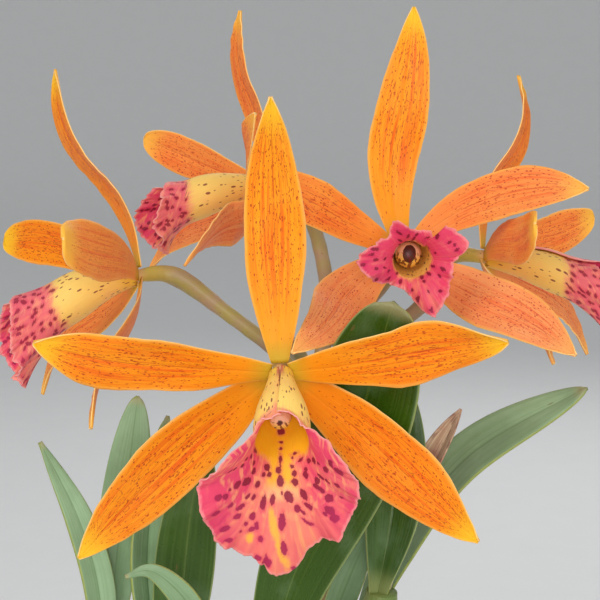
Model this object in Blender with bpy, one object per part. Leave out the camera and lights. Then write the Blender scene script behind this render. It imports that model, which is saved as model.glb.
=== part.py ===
"""A cattleya orchid with five open blooms, growing in a clay pot of bark.

Lengths are in millimetres and angles in degrees. The origin is the middle of the pot's underside, +Z is
up, and the plant is looked at from -Y. Each bloom has a frame of its own, whose x runs to the onlooker's
right, y up the bloom's face and z out of it, with the hub at the middle.
"""

import math

import bmesh
import bpy
import numpy as np
from mathutils import Matrix, Vector, noise

MM = 0.001

POT_HEIGHT = 90.0
POT_FOOT_RADIUS = 38.0
POT_LIP_RADIUS = 52.0
POT_BAND_HEIGHT = 16.0
POT_BAND_PROUD = 3.0
POT_WALL = 4.5
POT_FLOOR = 6.0
DRAIN_RADIUS = 4.0
DRAIN_DISTANCE = 19.0
DRAIN_HOLES = 4
POT_SIDES = 36

BARK_LEVEL = 80.0
BARK_RELIEF = 4.5
BARK_RINGS = 10

SEAT_GAP = 0.35
HUB_RADIUS = 2.0
TEPAL_THICKNESS = 0.8
LIP_THICKNESS = 0.7
LEAF_THICKNESS = 1.5
PAPER_THICKNESS = 0.7

TEPAL_FOOT = 0.28
EDGE_WAVE = 0.5
WAVE_RATE = 11.0
WAVE_SLANT = 2.4
EDGE_WANDER = 0.03
WANDER_RATE = 13.0
WANDER_SLANT = 1.6
LIP_THROAT = 3.2
LIP_WRAP = 184.0
LIP_LAP = 0.1
MOUTH = 0.42
MOUTH_TOP_STARTS = 60.0
RIM_STEPS = 6
RUFFLE_RATES = (7, 12)

RHIZOME_RADIUS = 4.2
RHIZOME_LEVEL = 87.5
PEDUNCLE_RADIUS = 2.6


def tepal(length, clock, lean, half_width, widest=0.5, cup=14, twist=(0, 0), layer=-0.4, tip=0.75, wavy=1.0):
    """One sepal or petal: how far it reaches, which way it heads and how broad it is.

    clock is its heading round the bloom's face near the hub, halfway and near the tip, counted from the
    onlooker's right, and lean is how far it bends out of the face at the same three places. wavy is how
    strongly its edges wander.
    """
    return {
        "length": length, "clock": clock, "lean": lean, "half_width": half_width,
        "widest": widest, "cup": cup, "twist": twist, "layer": layer, "tip": tip, "wavy": wavy,
    }


def lip(tube, heading, mouth, flare, rim, seam=0, ruffle=1.0, slant=0.15):
    """A bloom's lip: a sheet rolled into a tube round the column, whose rim flares into ruffled lobes.

    tube is the tube's length, heading how far it points below the bloom's axis at its base and mouth,
    and mouth its radius there. rim pairs an angle round the mouth, counted from its lowest point to the
    onlooker's right, with how far the sheet reaches past the mouth. flare is how far the rim turns
    outward at the bottom, the sides and the top, and seam is how far the rolled edges lie from the top.
    slant is the share of the tube that its top is cut back by.
    """
    return {
        "tube": tube, "heading": heading, "mouth": mouth, "flare": flare,
        "rim": rim, "seam": seam, "ruffle": ruffle, "slant": slant,
    }


def side_rim(bottom, side, top):
    """The rim of a lip seen from its side, even left and right, by its reach at three places."""
    right = [(0, bottom), (45, (bottom + side) / 2 + 0.5), (90, side), (135, (side + top) / 2), (184, top)]
    return [(-angle, length) for angle, length in reversed(right[1:])] + right


BLOOMS = {
    "front_bloom": {
        "hub": (5, -40, 240), "facing": (0, -20, 1),
        "stalk": [(13.3, -2.3, 226.5), (11.5, -9, 235), (8, -20, 243)],
        "dorsal_sepal": tepal(70, (92, 90, 90), (-22, -8, 8), 7.8, 0.45),
        "left_sepal": tepal(69, (219, 219, 217), (5, 18, 34), 9.3, 0.52),
        "right_sepal": tepal(65.5, (-39, -42, -34), (4, 17, 32), 9.5, 0.55),
        "left_petal": tepal(61, (169, 165, 156), (10, 17, 9), 8.0, 0.66, layer=0.8, wavy=2.2),
        "right_petal": tepal(57, (12, 20, 14), (9, 13, 17), 8.4, 0.6, layer=0.8, wavy=2.2),
        "lip": lip(21, (14, 30), 6.8, (62, 74, 40), (
            (-184, 1.5), (-128, 3), (-120, 12), (-117, 16), (-102, 17), (-88, 19), (-78, 20.5), (-70, 21.5),
            (-64, 22), (-56, 23.5), (-49, 24), (-43, 26.5), (-38, 27.5), (-31, 27.5), (-23, 26.5), (-17, 26.5),
            (-10, 29), (-4, 31.5), (4, 31.5), (10, 29), (13, 26.5), (21, 23.5), (24, 23), (32, 23.5), (37, 25),
            (44, 23), (57, 20.5), (70, 19), (85, 17.5), (98, 16), (112, 12), (119, 8), (128, 3),
            (184, 1.5)), slant=0.28),
    },
    "top_bloom": {
        "hub": (38.5, 4, 265.5), "facing": (4, 20, -6),
        "stalk": [(21, 4.8, 240), (25, 9, 245.5), (33, 15, 255)],
        "dorsal_sepal": tepal(66.5, (106, 82, 92), (8, 28, 12), 7.6, 0.5),
        "left_sepal": tepal(62, (221, 248.5, 228), (19, 57, 39), 7.8, 0.43),
        "right_sepal": tepal(62, (-33, -33, -46), (20, 44, 38), 7.9, 0.5),
        "left_petal": tepal(50.5, (162, 167, 170), (21, 38, 30), 6.6, 0.6, layer=0.8),
        "right_petal": tepal(56.5, (42, 12, -8), (26, 44, 33), 6.8, 0.6, layer=0.8),
        "lip": lip(20, (16, 24), 5.2, (84, 74, 74), (
            (-224, 4), (-206, 7), (-187, 4), (-167, 6.5), (-156, 10), (-147, 10), (-135, 5), (-120, 8.5),
            (-104, 10.5), (-97, 13.5), (-88, 13.5), (-76, 12), (-64, 10), (-38, 4), (-16, 3.5), (4, 5),
            (16, 8.5), (22, 14), (37, 11.5), (51, 10.5), (59, 9.5), (65, 7), (79, 8), (89, 8.5), (96, 7),
            (104, 10), (112, 14), (117, 14.5), (123, 13.5), (134, 12), (144, 11)), seam=-40),
    },
    "left_bloom": {
        "hub": (-35.5, 8, 258.5), "facing": (-70, 4, 0),
        "stalk": [(11.15, 1.4, 231.5), (3, 2, 238.5), (-10, 5, 248)],
        "dorsal_sepal": tepal(61.5, (102, 96, 104), (12, 50, 5), 7.4, 0.5, twist=(0, 6)),
        "left_sepal": tepal(55, (218, 214.5, 271), (14, 32, 14), 7.4, 0.5),
        "right_sepal": tepal(56, (-40, -38, -46), (14, 38, 12), 7.4, 0.5),
        "left_petal": tepal(59, (170, 172, 189), (23, 34, 25), 6.8, 0.68, layer=0.8, tip=0.4),
        "right_petal": tepal(57, (22, 9, 18), (24, 36, 40), 7.6, 0.72, layer=0.8, tip=0.3),
        "lip": lip(24, (14, 37), 6.1, (26, 22, 20), side_rim(20, 17, 11)),
    },
    "back_bloom": {
        "hub": (-0.5, 38.5, 281.5), "facing": (-66, 6, 0),
        "stalk": [(17.2, 5.4, 242.7), (17.5, 18, 255), (14.5, 30, 269)],
        "dorsal_sepal": tepal(51, (104, 104, 90), (4, 26, 0), 6.4, 0.5),
        "left_sepal": tepal(48, (214, 210.5, 255), (19, 38, 29), 6.6, 0.5),
        "right_sepal": tepal(46, (-45, -13, -79), (32, 59.5, 40), 6.6, 0.5, twist=(0, 20)),
        "left_petal": tepal(48, (172, 166, 158), (22, 24, 46), 6.4, 0.7, layer=0.8, tip=0.4),
        "right_petal": tepal(48, (18, 21, 45), (28, 40, 6), 6.4, 0.6, layer=0.8),
        "lip": lip(25, (9, 26), 5.6, (42, 30, 26), side_rim(11, 13.5, 5)),
    },
    "right_bloom": {
        "hub": (62.5, 15.5, 263), "facing": (70, 4, 0),
        "stalk": [(18.7, 1.0, 226), (29, 8, 238), (45, 12, 250)],
        "dorsal_sepal": tepal(52.5, (80, 75, 83), (-1, 43, -12), 7.8, 0.5),
        "left_sepal": tepal(43, (222, 221, 237), (24, 52, 24), 6.6, 0.5),
        "right_sepal": tepal(52, (-28, -34, -88), (20, 36, 20), 6.8, 0.5),
        "left_petal": tepal(47, (159, 176, 154), (26, 36, 26), 6.6, 0.72, layer=0.8, tip=0.35),
        "right_petal": tepal(47, (10, 0, 22), (26, 27, 37), 6.6, 0.7, layer=0.8, tip=0.4),
        "lip": lip(24, (10, 25), 5.3, (28, 22, 16), side_rim(19, 16, 8)),
    },
}

CANES = {
    "right_cane": {"foot": (24, -5), "top": (32.5, -14, 174), "thick": 8.0},
    "centre_cane": {"foot": (-3, -6), "top": (1, -20, 148), "thick": 7.5},
    "far_left_cane": {"foot": (-37, 5), "top": (-46, -2, 144), "thick": 7.0},
    "left_cane": {"foot": (-24, -1), "top": (-28, -8, 143), "thick": 7.5},
    "young_cane": {"foot": (-10, -20), "top": (-12, -36, 161), "thick": 6.0},
    "flowering_cane": {"foot": (11, 7), "top": (20, 10, 148), "thick": 8.0},
}

RHIZOME_ROUTE = [(-40, 6), (-30, 1), (-20, -4), (-10, -21), (-3, -7), (5, 2), (14, 6), (26, -6)]

PEDUNCLE_ROUTE = [(20, 10, 149.2), (17, 7, 175), (14, 3, 205), (14, 1.5, 225), (17, 5, 241)]

LEAVES = {
    "leaf_broad_front": {
        "route": [(0, -21, 148.7), (8, -23, 180), (22.5, -28, 215), (33.5, -41.5, 258)],
        "half_width": 13.8, "widest": 0.72, "fold": 14, "face": (-0.1, -1, 0.2), "blunt": 0.4,
    },
    "leaf_broad_behind": {
        "route": [(31.5, -15, 174.6), (35, -12, 195), (37, -7, 215), (37, -4, 234)],
        "half_width": 8.5, "widest": 0.5, "fold": 18, "face": (0, -1, 0.1), "blunt": 0.6,
    },
    "leaf_far_right": {
        "route": [(25.6, 11, 147), (38, 8, 177), (57, 0, 207.5), (88, -11, 230)],
        "half_width": 8.8, "widest": 0.55, "fold": 14, "face": (-0.7, -0.6, 0.6), "blunt": 0.6,
    },
    "leaf_low_right": {
        "route": [(18.2, 4.9, 148.1), (21, 0, 165), (26, -4, 180), (30, -6, 190)],
        "half_width": 4.5, "widest": 0.5, "fold": 14, "face": (0, -1, 0.1), "blunt": 0.6,
    },
    "leaf_left_tall": {
        "route": [(-45, 0, 145.5), (-42.5, 2, 175), (-39, 5, 200), (-36, 8, 224)],
        "half_width": 6.8, "widest": 0.62, "fold": 14, "face": (0, -1, 0.1), "blunt": 0.5,
    },
    "leaf_far_left": {
        "route": [(-47, -4, 144.4), (-46.5, -5, 170), (-52, -5, 192), (-62.5, -2, 213)],
        "half_width": 5.0, "widest": 0.4, "fold": 24, "face": (0.5, -1, 0.1), "blunt": 0.7,
    },
    "leaf_left_folded": {
        "route": [(-29, -6, 143.9), (-33, -3, 175), (-31, -1, 200), (-27, 0, 220)],
        "half_width": 6.5, "widest": 0.4, "fold": 40, "face": (0.2, -1, 0.1), "blunt": 0.6,
    },
    "leaf_left_centre": {
        "route": [(-27, -10, 143.9), (-23, -11, 170), (-20, -12, 195), (-16, -12, 217)],
        "half_width": 8.5, "widest": 0.5, "fold": 14, "face": (0, -1, 0.1), "blunt": 0.6,
    },
    "leaf_small_arching": {
        "route": [(-12.5, -36.5, 161.6), (-16, -40, 174), (-21, -43, 183), (-28, -44.5, 189),
                  (-34.5, -44.5, 187.5)],
        "half_width": 3.6, "widest": 0.45, "fold": 18, "face": (-0.3, -0.8, 0.5), "blunt": 0.8,
    },
}

OLD_SPATHE = {
    "route": [(35, -11.8, 174.6), (41, -6, 192), (47.5, -5, 208), (54.5, -5, 223)],
    "half_width": 5.6, "widest": 0.62, "fold": 52, "face": (-0.6, -0.8, 0.3), "blunt": 0.8,
}

FLOWER_SHEATH = {"height": 24.0, "radius": 3.8}


def vectors(points):
    return [Vector(point) for point in points]


def smooth_route(points, count):
    """The given points joined by one smooth curve, as evenly spaced points and their directions."""
    knots = [Vector(point) for point in points]
    knots = [2 * knots[0] - knots[1], *knots, 2 * knots[-1] - knots[-2]]
    dense = []
    for a, b, c, d in zip(knots, knots[1:], knots[2:], knots[3:]):
        for step in range(20):
            t = step / 20
            dense.append(0.5 * (2 * b + (c - a) * t + (2 * a - 5 * b + 4 * c - d) * t * t
                                + (3 * b - a - 3 * c + d) * t**3))
    dense = np.array([*dense, knots[-2]])
    run = np.concatenate([[0], np.cumsum(np.linalg.norm(np.diff(dense, axis=0), axis=1))])
    even = np.linspace(0, run[-1], count)
    places = np.stack([np.interp(even, run, dense[:, axis]) for axis in range(3)], axis=1)
    headings = np.gradient(places, axis=0)
    return vectors(places), [Vector(h).normalized() for h in headings]


def walked_route(start, length, heading_at, steps=40):
    """Points reached by walking a length from start, heading where heading_at says at each share of it."""
    places, headings = [Vector(start)], []
    for step in range(steps):
        headings.append(heading_at((step + 0.5) / steps))
        places.append(places[-1] + headings[-1] * (length / steps))
    headings.append(headings[-1])
    return places, headings


def at(places, share):
    """The place a share of the way along a list of evenly spaced ones."""
    step = min(max(share, 0), 1) * (len(places) - 1)
    index = min(int(step), len(places) - 2)
    return places[index].lerp(places[index + 1], step - index)


def swell(share, widest, foot, tip_power=0.75):
    """A blade's breadth, as a share of its most: from its foot out to the widest place and in to a tip."""
    if share < widest:
        return foot + (1 - foot) * math.sin(math.pi / 2 * share / widest)
    return max(math.cos(math.pi / 2 * (share - widest) / (1 - widest)), 0) ** tip_power


def tepal_surface(shape):
    """A function from (share along, share across) to a point of the tepal, in its bloom's frame."""
    thirds = (0.12, 0.5, 0.88)

    def directions(share):
        clock = math.radians(np.interp(share, thirds, shape["clock"]))
        lean = math.radians(np.interp(share, thirds, shape["lean"]))
        out = Vector((math.cos(clock), math.sin(clock), 0))
        ahead = out * math.cos(lean) + Vector((0, 0, math.sin(lean)))
        face = Vector((0, 0, math.cos(lean))) - out * math.sin(lean)
        return ahead, face

    first = math.radians(shape["clock"][0])
    reach = HUB_RADIUS + SEAT_GAP
    start = (reach * math.cos(first), reach * math.sin(first), shape["layer"])
    midrib, _ = walked_route(start, shape["length"], lambda share: directions(share)[0])

    def point(along, across):
        ahead, face = directions(along)
        turn = math.radians(shape["twist"][0] + (shape["twist"][1] - shape["twist"][0]) * along)
        face = Matrix.Rotation(turn, 3, ahead) @ face
        side = ahead.cross(face)
        half = max(shape["half_width"] * swell(along, shape["widest"], TEPAL_FOOT, shape["tip"]), 0.35)
        wander = math.sin(WANDER_RATE * along + WANDER_SLANT * across) * min(along * 2, 1)
        half *= 1 + EDGE_WANDER * shape["wavy"] * abs(across) ** 3 * wander
        cup = math.radians(shape["cup"]) * min(along * 4, 1)
        bend = across * cup
        wave = EDGE_WAVE * shape["wavy"] * across**2 * math.sin(WAVE_RATE * along + WAVE_SLANT * across)
        flat = math.sin(bend) / cup if cup else across
        rise = (1 - math.cos(bend)) / cup if cup else 0
        return at(midrib, along) + side * (half * flat) + face * (half * rise + wave * along)

    return point


def lip_surface(shape):
    """A function from (share along, share across) to a point of the lip, in its bloom's frame."""
    right = Vector((1, 0, 0))

    def heading_at(share):
        below = math.radians(np.interp(share, (0, 1), shape["heading"]))
        return Vector((0, -math.sin(below), math.cos(below)))

    middles, _ = walked_route((0, -0.2, 2.2), shape["tube"], heading_at)
    rim_angles, rim_reaches = zip(*shape["rim"])

    def reach_at(angle):
        near = [np.interp(angle + blur, rim_angles, rim_reaches) for blur in (-6, -3, 0, 3, 6)]
        return sum(near) / len(near)

    def point(along, across):
        share = min(along / MOUTH, 1)
        wrap = LIP_WRAP * (0.95 + 0.05 * share)
        angle = wrap * across * (0.6 + 0.4 * across * across) + shape["seam"] * across * across
        turn = math.radians(angle)
        run = share * (1 - shape["slant"] * topness(angle))
        ahead = heading_at(run)
        spoke = right * math.sin(turn) + right.cross(ahead) * math.cos(turn)
        grown = (1 - math.cos(math.pi * min(share * 1.2, 1))) / 2
        radius = LIP_THROAT + (shape["mouth"] - LIP_THROAT) * grown
        place = at(middles, run) + spoke * (radius * (1 + LIP_LAP * across))
        lobe = max((along - MOUTH) / (1 - MOUTH), 0)
        if lobe == 0:
            return place
        flare = np.interp(abs(angle), (0, 90, 180), shape["flare"])
        for step in range(RIM_STEPS):
            tilt = math.radians(flare) * (lobe * (step + 0.5) / RIM_STEPS) ** 0.6
            place += (ahead * math.cos(tilt) + spoke * math.sin(tilt)) * (reach_at(angle) * lobe / RIM_STEPS)
        ruffle = shape["ruffle"] * lobe * lobe * (1 - across**6)
        wave = math.sin(turn * RUFFLE_RATES[0]) + 0.5 * math.sin(turn * RUFFLE_RATES[1] + 1)
        return place + (spoke * math.cos(tilt) - ahead * math.sin(tilt)) * (ruffle * wave)

    return point


def topness(angle):
    """0 over the lower half of a lip's mouth, rising to 1 at its top."""
    share = min(max((abs(angle) - MOUTH_TOP_STARTS) / (180 - MOUTH_TOP_STARTS), 0), 1)
    return share * share * (3 - 2 * share)


def leaf_surface(shape):
    """A function from (share along, share across) to a point of a leaf, folded along its midrib."""
    midrib, headings = smooth_route(shape["route"], 25)

    def point(along, across):
        ahead = at(headings, along).normalized()
        face = Vector(shape["face"])
        face = (face - ahead * face.dot(ahead)).normalized()
        side = ahead.cross(face)
        half = max(shape["half_width"] * swell(along, shape["widest"], 0.32, shape["blunt"]), 0.5)
        fold = math.radians(shape["fold"]) * (1.3 - 0.6 * along)
        return (at(midrib, along) + side * (half * across * math.cos(fold))
                + face * (half * abs(across) * math.sin(fold)))

    return point


def material(name, colour, roughness):
    made = bpy.data.materials.new(name)
    made.use_nodes = True
    shader = made.node_tree.nodes["Principled BSDF"]
    shader.inputs["Base Color"].default_value = (*colour, 1)
    shader.inputs["Roughness"].default_value = roughness
    return made


def add_piece(name, mesh_maker, finish, frame=None):
    """Links a piece whose mesh_maker fills a bmesh in millimetres, placed by its bloom's empty if given."""
    bm = bmesh.new()
    mesh_maker(bm)
    bmesh.ops.scale(bm, vec=(MM, MM, MM), verts=bm.verts)
    mesh = bpy.data.meshes.new(name)
    bm.to_mesh(mesh)
    bm.free()
    mesh.shade_smooth()
    mesh.materials.append(finish)
    piece = bpy.data.objects.new(name, mesh)
    piece.parent = frame
    bpy.context.scene.collection.objects.link(piece)
    return piece


def sheet(surface, along, across):
    """A mesh maker for a sheet whose points surface gives, split into triangles before it is thickened."""

    def fill(bm):
        bmesh.ops.create_grid(bm, x_segments=along, y_segments=across, size=1)
        for vertex in bm.verts:
            vertex.co = surface((vertex.co.x + 1) / 2, vertex.co.y)
        bmesh.ops.triangulate(bm, faces=bm.faces)

    return fill


def thicken(piece, thickness):
    solid = piece.modifiers.new("thickness", "SOLIDIFY")
    solid.thickness = thickness * MM
    solid.offset = 0


def stem(route, radius_at, rings, sides, dome=0.2):
    """A mesh maker for a round stem along a route, closed at both ends, drawn out of a sphere."""

    def fill(bm):
        places, headings = smooth_route(route, 40)
        across = Vector((0, 1, 0)) if abs(headings[0].y) < 0.9 else Vector((1, 0, 0))
        sides_of = []
        for heading in headings:
            across = (across - heading * across.dot(heading)).normalized()
            sides_of.append(across)
        bmesh.ops.create_uvsphere(bm, u_segments=sides, v_segments=rings + 1, radius=1)
        for vertex in bm.verts:
            ring = round(math.acos(max(-1, min(1, vertex.co.z))) / math.pi * (rings + 1))
            share = min(max((ring - 1) / (rings - 1), 0), 1)
            ahead = at(headings, share).normalized()
            if ring in (0, rings + 1):
                end = -1 if ring == 0 else 1
                vertex.co = at(places, share) + ahead * (end * dome * radius_at(share))
                continue
            first = at(sides_of, share).normalized()
            second = first.cross(ahead)
            turn = math.atan2(vertex.co.y, vertex.co.x)
            spoke = first * math.cos(turn) + second * math.sin(turn)
            vertex.co = at(places, share) + spoke * radius_at(share)

    return fill


def bloom_frame(name, hub, facing):
    """An empty at the bloom's hub, turned to face yaw to the side, pitch up and roll about its axis."""
    yaw, pitch, roll = (math.radians(angle) for angle in facing)
    upright = Matrix.Rotation(math.pi / 2, 4, "X")
    turned = (Matrix.Rotation(yaw, 4, "Z") @ Matrix.Rotation(-pitch, 4, "X")
              @ upright @ Matrix.Rotation(roll, 4, "Z"))
    frame = bpy.data.objects.new(name, None)
    frame.matrix_world = Matrix.Translation(Vector(hub) * MM) @ turned
    bpy.context.scene.collection.objects.link(frame)
    return frame


def column_length(bloom):
    return 0.86 * bloom["lip"]["tube"]


def stalk_route(bloom, frame):
    """From the flower stem through the ovary and the hub to the column's tip inside the lip."""
    turn = frame.matrix_world.to_3x3()
    hub = Vector(bloom["hub"])
    length = column_length(bloom)
    below = math.radians(bloom["lip"]["heading"][0])
    column = turn @ Vector((0, -math.sin(below), math.cos(below)))
    axis = turn @ Vector((0, 0, 1))
    return [*vectors(bloom["stalk"]), hub - axis * 11, hub, hub + column * (length / 2), hub + column * length]


def stalk_radius_at(route, column):
    """The radius at each share of a stalk: slim, thicker at the ovary, waisted at the hub, then clubbed."""
    places, _ = smooth_route(route, 40)
    run = sum((b - a).length for a, b in zip(places, places[1:]))

    def radius(share):
        beyond_hub = share * run - (run - column)
        return float(np.interp(beyond_hub, (-30, -13, -4, 0, 3, 0.6 * column, 0.9 * column, column),
                               (2.1, 2.8, 2.1, 1.75, 1.85, 2.2, 2.8, 2.2)))

    return radius


def build_bloom(name, bloom, finishes):
    frame = bloom_frame(name, bloom["hub"], bloom["facing"])
    for tepal_name in ("dorsal_sepal", "left_sepal", "right_sepal", "left_petal", "right_petal"):
        surface = tepal_surface(bloom[tepal_name])
        piece = add_piece(f"{name}_{tepal_name}", sheet(surface, 10, 4), finishes["tepal"], frame)
        thicken(piece, TEPAL_THICKNESS)
    piece = add_piece(f"{name}_lip", sheet(lip_surface(bloom["lip"]), 12, 16), finishes["lip"], frame)
    thicken(piece, LIP_THICKNESS)
    route = stalk_route(bloom, frame)
    radius_at = stalk_radius_at(route, column_length(bloom))
    add_piece(f"{name}_stalk_and_column", stem(route, radius_at, 16, 8), finishes["stalk"])


def build_cane(name, cane, finish):
    """A false bulb: slim at its foot, swollen above the middle and narrow under its leaves."""
    foot = Vector((*cane["foot"], RHIZOME_LEVEL + RHIZOME_RADIUS))
    top = Vector(cane["top"])
    foot.z += 0.5 * cane["thick"] * (top - foot).xy.length / (top - foot).z
    middle = foot.lerp(top, 0.5) + Vector((0, 0, 3))

    def radius(share):
        return cane["thick"] * float(np.interp(share, (0, 0.15, 0.5, 0.75, 1), (0.5, 0.62, 0.95, 1, 0.55)))

    add_piece(name, stem([foot, middle, top], radius, 9, 10, dome=0), finish)


def build_leaves(finishes):
    for name, leaf in LEAVES.items():
        piece = add_piece(name, sheet(leaf_surface(leaf), 12, 4), finishes["leaf"])
        thicken(piece, LEAF_THICKNESS)
    spathe = add_piece("old_spathe", sheet(leaf_surface(OLD_SPATHE), 8, 4), finishes["paper"])
    thicken(spathe, PAPER_THICKNESS)


def build_peduncle(finishes):
    """The flower stem, and the papery sheath that wraps its foot like a rolled leaf."""
    add_piece("flower_stem", stem(PEDUNCLE_ROUTE, lambda share: PEDUNCLE_RADIUS * (1.15 - 0.3 * share), 14, 8),
              finishes["stalk"])
    places, headings = smooth_route(PEDUNCLE_ROUTE, 40)
    run = sum((b - a).length for a, b in zip(places, places[1:]))

    def point(along, across):
        share = (2 * SEAT_GAP + along * FLOWER_SHEATH["height"]) / run
        ahead = at(headings, share)
        face = Vector((0, 1, 0))
        face = (face - ahead * face.dot(ahead)).normalized()
        turn = across * math.radians(150 - 90 * along**3)
        spoke = face * math.cos(turn) + ahead.cross(face) * math.sin(turn)
        return at(places, share) + spoke * (FLOWER_SHEATH["radius"] - 0.1 * along)

    thicken(add_piece("flower_sheath", sheet(point, 5, 8), finishes["paper"]), PAPER_THICKNESS)


def rhizome_route():
    return [(x, y, RHIZOME_LEVEL) for x, y in RHIZOME_ROUTE]


def build_rhizome(finish):
    def radius(share):
        return RHIZOME_RADIUS * (0.92 + 0.08 * math.cos(share * 2 * math.pi * 7))

    add_piece("rhizome", stem(rhizome_route(), radius, 29, 8), finish)


def turned(profile, sides):
    """A mesh maker for a shape turned about the Z axis from (radius, height) pairs."""

    def fill(bm):
        points = [bm.verts.new((radius, 0, height)) for radius, height in profile]
        edges = [bm.edges.new(pair) for pair in zip(points, points[1:])]
        bmesh.ops.spin(bm, geom=points + edges, cent=(0, 0, 0), axis=(0, 0, 1), dvec=(0, 0, 0),
                       angle=2 * math.pi, steps=sides, use_merge=True)
        bmesh.ops.remove_doubles(bm, verts=bm.verts, dist=0.001)
        bmesh.ops.recalc_face_normals(bm, faces=bm.faces)

    return fill


def pot_inner_radius(height):
    """The pot's inner wall, which leans out from the floor to the rim."""
    rise = height / POT_HEIGHT
    return POT_FOOT_RADIUS + (POT_LIP_RADIUS - POT_BAND_PROUD - POT_FOOT_RADIUS) * rise - POT_WALL


def cut_drain(pot, index, x, y):
    """Cuts one round drain hole through the pot's floor."""

    def fill(bm):
        bmesh.ops.create_cone(bm, cap_ends=True, segments=16, radius1=DRAIN_RADIUS, radius2=DRAIN_RADIUS,
                              depth=2 * POT_FLOOR)
        bmesh.ops.translate(bm, vec=(x, y, POT_FLOOR / 2), verts=bm.verts)

    cutter = add_piece(f"drain_cutter_{index}", fill, pot.data.materials[0])
    cutter.hide_render = True
    cutter.display_type = "WIRE"
    cut = pot.modifiers.new(f"drain_{index}", "BOOLEAN")
    cut.operation = "DIFFERENCE"
    cut.solver = "EXACT"
    cut.object = cutter


def build_pot(finish):
    body_top = POT_LIP_RADIUS - POT_BAND_PROUD
    band_foot = POT_HEIGHT - POT_BAND_HEIGHT
    slope = (body_top - POT_FOOT_RADIUS) / POT_HEIGHT
    profile = [
        (0, 0),
        (POT_FOOT_RADIUS - 1.5, 0),
        (POT_FOOT_RADIUS, 1.5),
        (POT_FOOT_RADIUS + slope * band_foot, band_foot),
        (POT_LIP_RADIUS - 1.5, band_foot + 1),
        (POT_LIP_RADIUS, POT_HEIGHT - 2),
        (POT_LIP_RADIUS - 2, POT_HEIGHT),
        (pot_inner_radius(POT_HEIGHT) + 1, POT_HEIGHT),
        (pot_inner_radius(POT_HEIGHT - 2), POT_HEIGHT - 2),
        (pot_inner_radius(POT_FLOOR), POT_FLOOR),
        (0, POT_FLOOR),
    ]
    pot = add_piece("pot", turned(profile, POT_SIDES), finish)
    for index in range(DRAIN_HOLES):
        turn = 2 * math.pi * index / DRAIN_HOLES
        cut_drain(pot, index, DRAIN_DISTANCE * math.cos(turn), DRAIN_DISTANCE * math.sin(turn))


def rhizome_distance(x, y):
    """How far a place on the bark lies from the rhizome's middle line, seen from above."""
    places, _ = smooth_route(rhizome_route(), 60)
    return min(math.hypot(place.x - x, place.y - y) for place in places)


def bark_height(x, y):
    """The bark's surface: broken chips, with a bed pressed into it where the rhizome lies."""
    distances, seeds = noise.voronoi(Vector((x / 11, y / 11, 4.2)))
    chip = noise.cell(seeds[0] * 7.3)
    height = BARK_LEVEL + BARK_RELIEF * (chip - 0.6 * distances[0])
    bed = RHIZOME_LEVEL - RHIZOME_RADIUS - SEAT_GAP
    near = rhizome_distance(x, y) - RHIZOME_RADIUS
    return min(height, bed) if near > 4 else bed


def build_bark(finish):
    floor = POT_FLOOR + SEAT_GAP
    rim = pot_inner_radius(BARK_LEVEL) - SEAT_GAP - 0.2
    profile = [(0, floor), (pot_inner_radius(POT_FLOOR) - SEAT_GAP - 0.2, floor), (rim, BARK_LEVEL - 1)]
    profile += [(rim * (1 - ring / BARK_RINGS), BARK_LEVEL) for ring in range(1, BARK_RINGS + 1)]

    def fill(bm):
        turned(profile, POT_SIDES)(bm)
        for vertex in bm.verts:
            if vertex.co.z > BARK_LEVEL - 0.5:
                vertex.co.z = bark_height(vertex.co.x, vertex.co.y)
        bmesh.ops.triangulate(bm, faces=bm.faces)

    add_piece("bark", fill, finish)


def main():
    for old in list(bpy.data.objects):
        bpy.data.objects.remove(old, do_unlink=True)
    finishes = {
        "tepal": material("orange_tepal", (0.90, 0.34, 0.02), 0.5),
        "lip": material("rose_lip", (0.72, 0.07, 0.16), 0.5),
        "stalk": material("olive_stalk", (0.20, 0.17, 0.06), 0.5),
        "leaf": material("green_leaf", (0.07, 0.17, 0.04), 0.45),
        "cane": material("cane_skin", (0.20, 0.27, 0.08), 0.5),
        "paper": material("dry_sheath", (0.52, 0.38, 0.24), 0.8),
        "root": material("root_skin", (0.42, 0.38, 0.24), 0.8),
        "bark": material("pine_bark", (0.13, 0.06, 0.03), 0.9),
        "clay": material("fired_clay", (0.50, 0.19, 0.09), 0.85),
    }
    for name, bloom in BLOOMS.items():
        build_bloom(name, bloom, finishes)
    for name, cane in CANES.items():
        build_cane(name, cane, finishes["cane"])
    build_leaves(finishes)
    build_peduncle(finishes)
    build_rhizome(finishes["root"])
    build_bark(finishes["bark"])
    build_pot(finishes["clay"])


main()
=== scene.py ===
"""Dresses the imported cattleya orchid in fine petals, lips, leaves, bark and clay, and lights it.

Each piece repeats the form of the solid it stands for from the same named values, with a finer mesh, ruffles,
veins and markings. Tables are in millimetres and degrees and meshes in metres. Each bloom has a frame of its
own, whose x runs to the onlooker's right, y up the bloom's face and z out of it.
"""

import math
import random

import bmesh
import bpy
import numpy as np
from bpy.props import FloatProperty, FloatVectorProperty, IntProperty, PointerProperty
from mathutils import Matrix, Vector, noise


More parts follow.
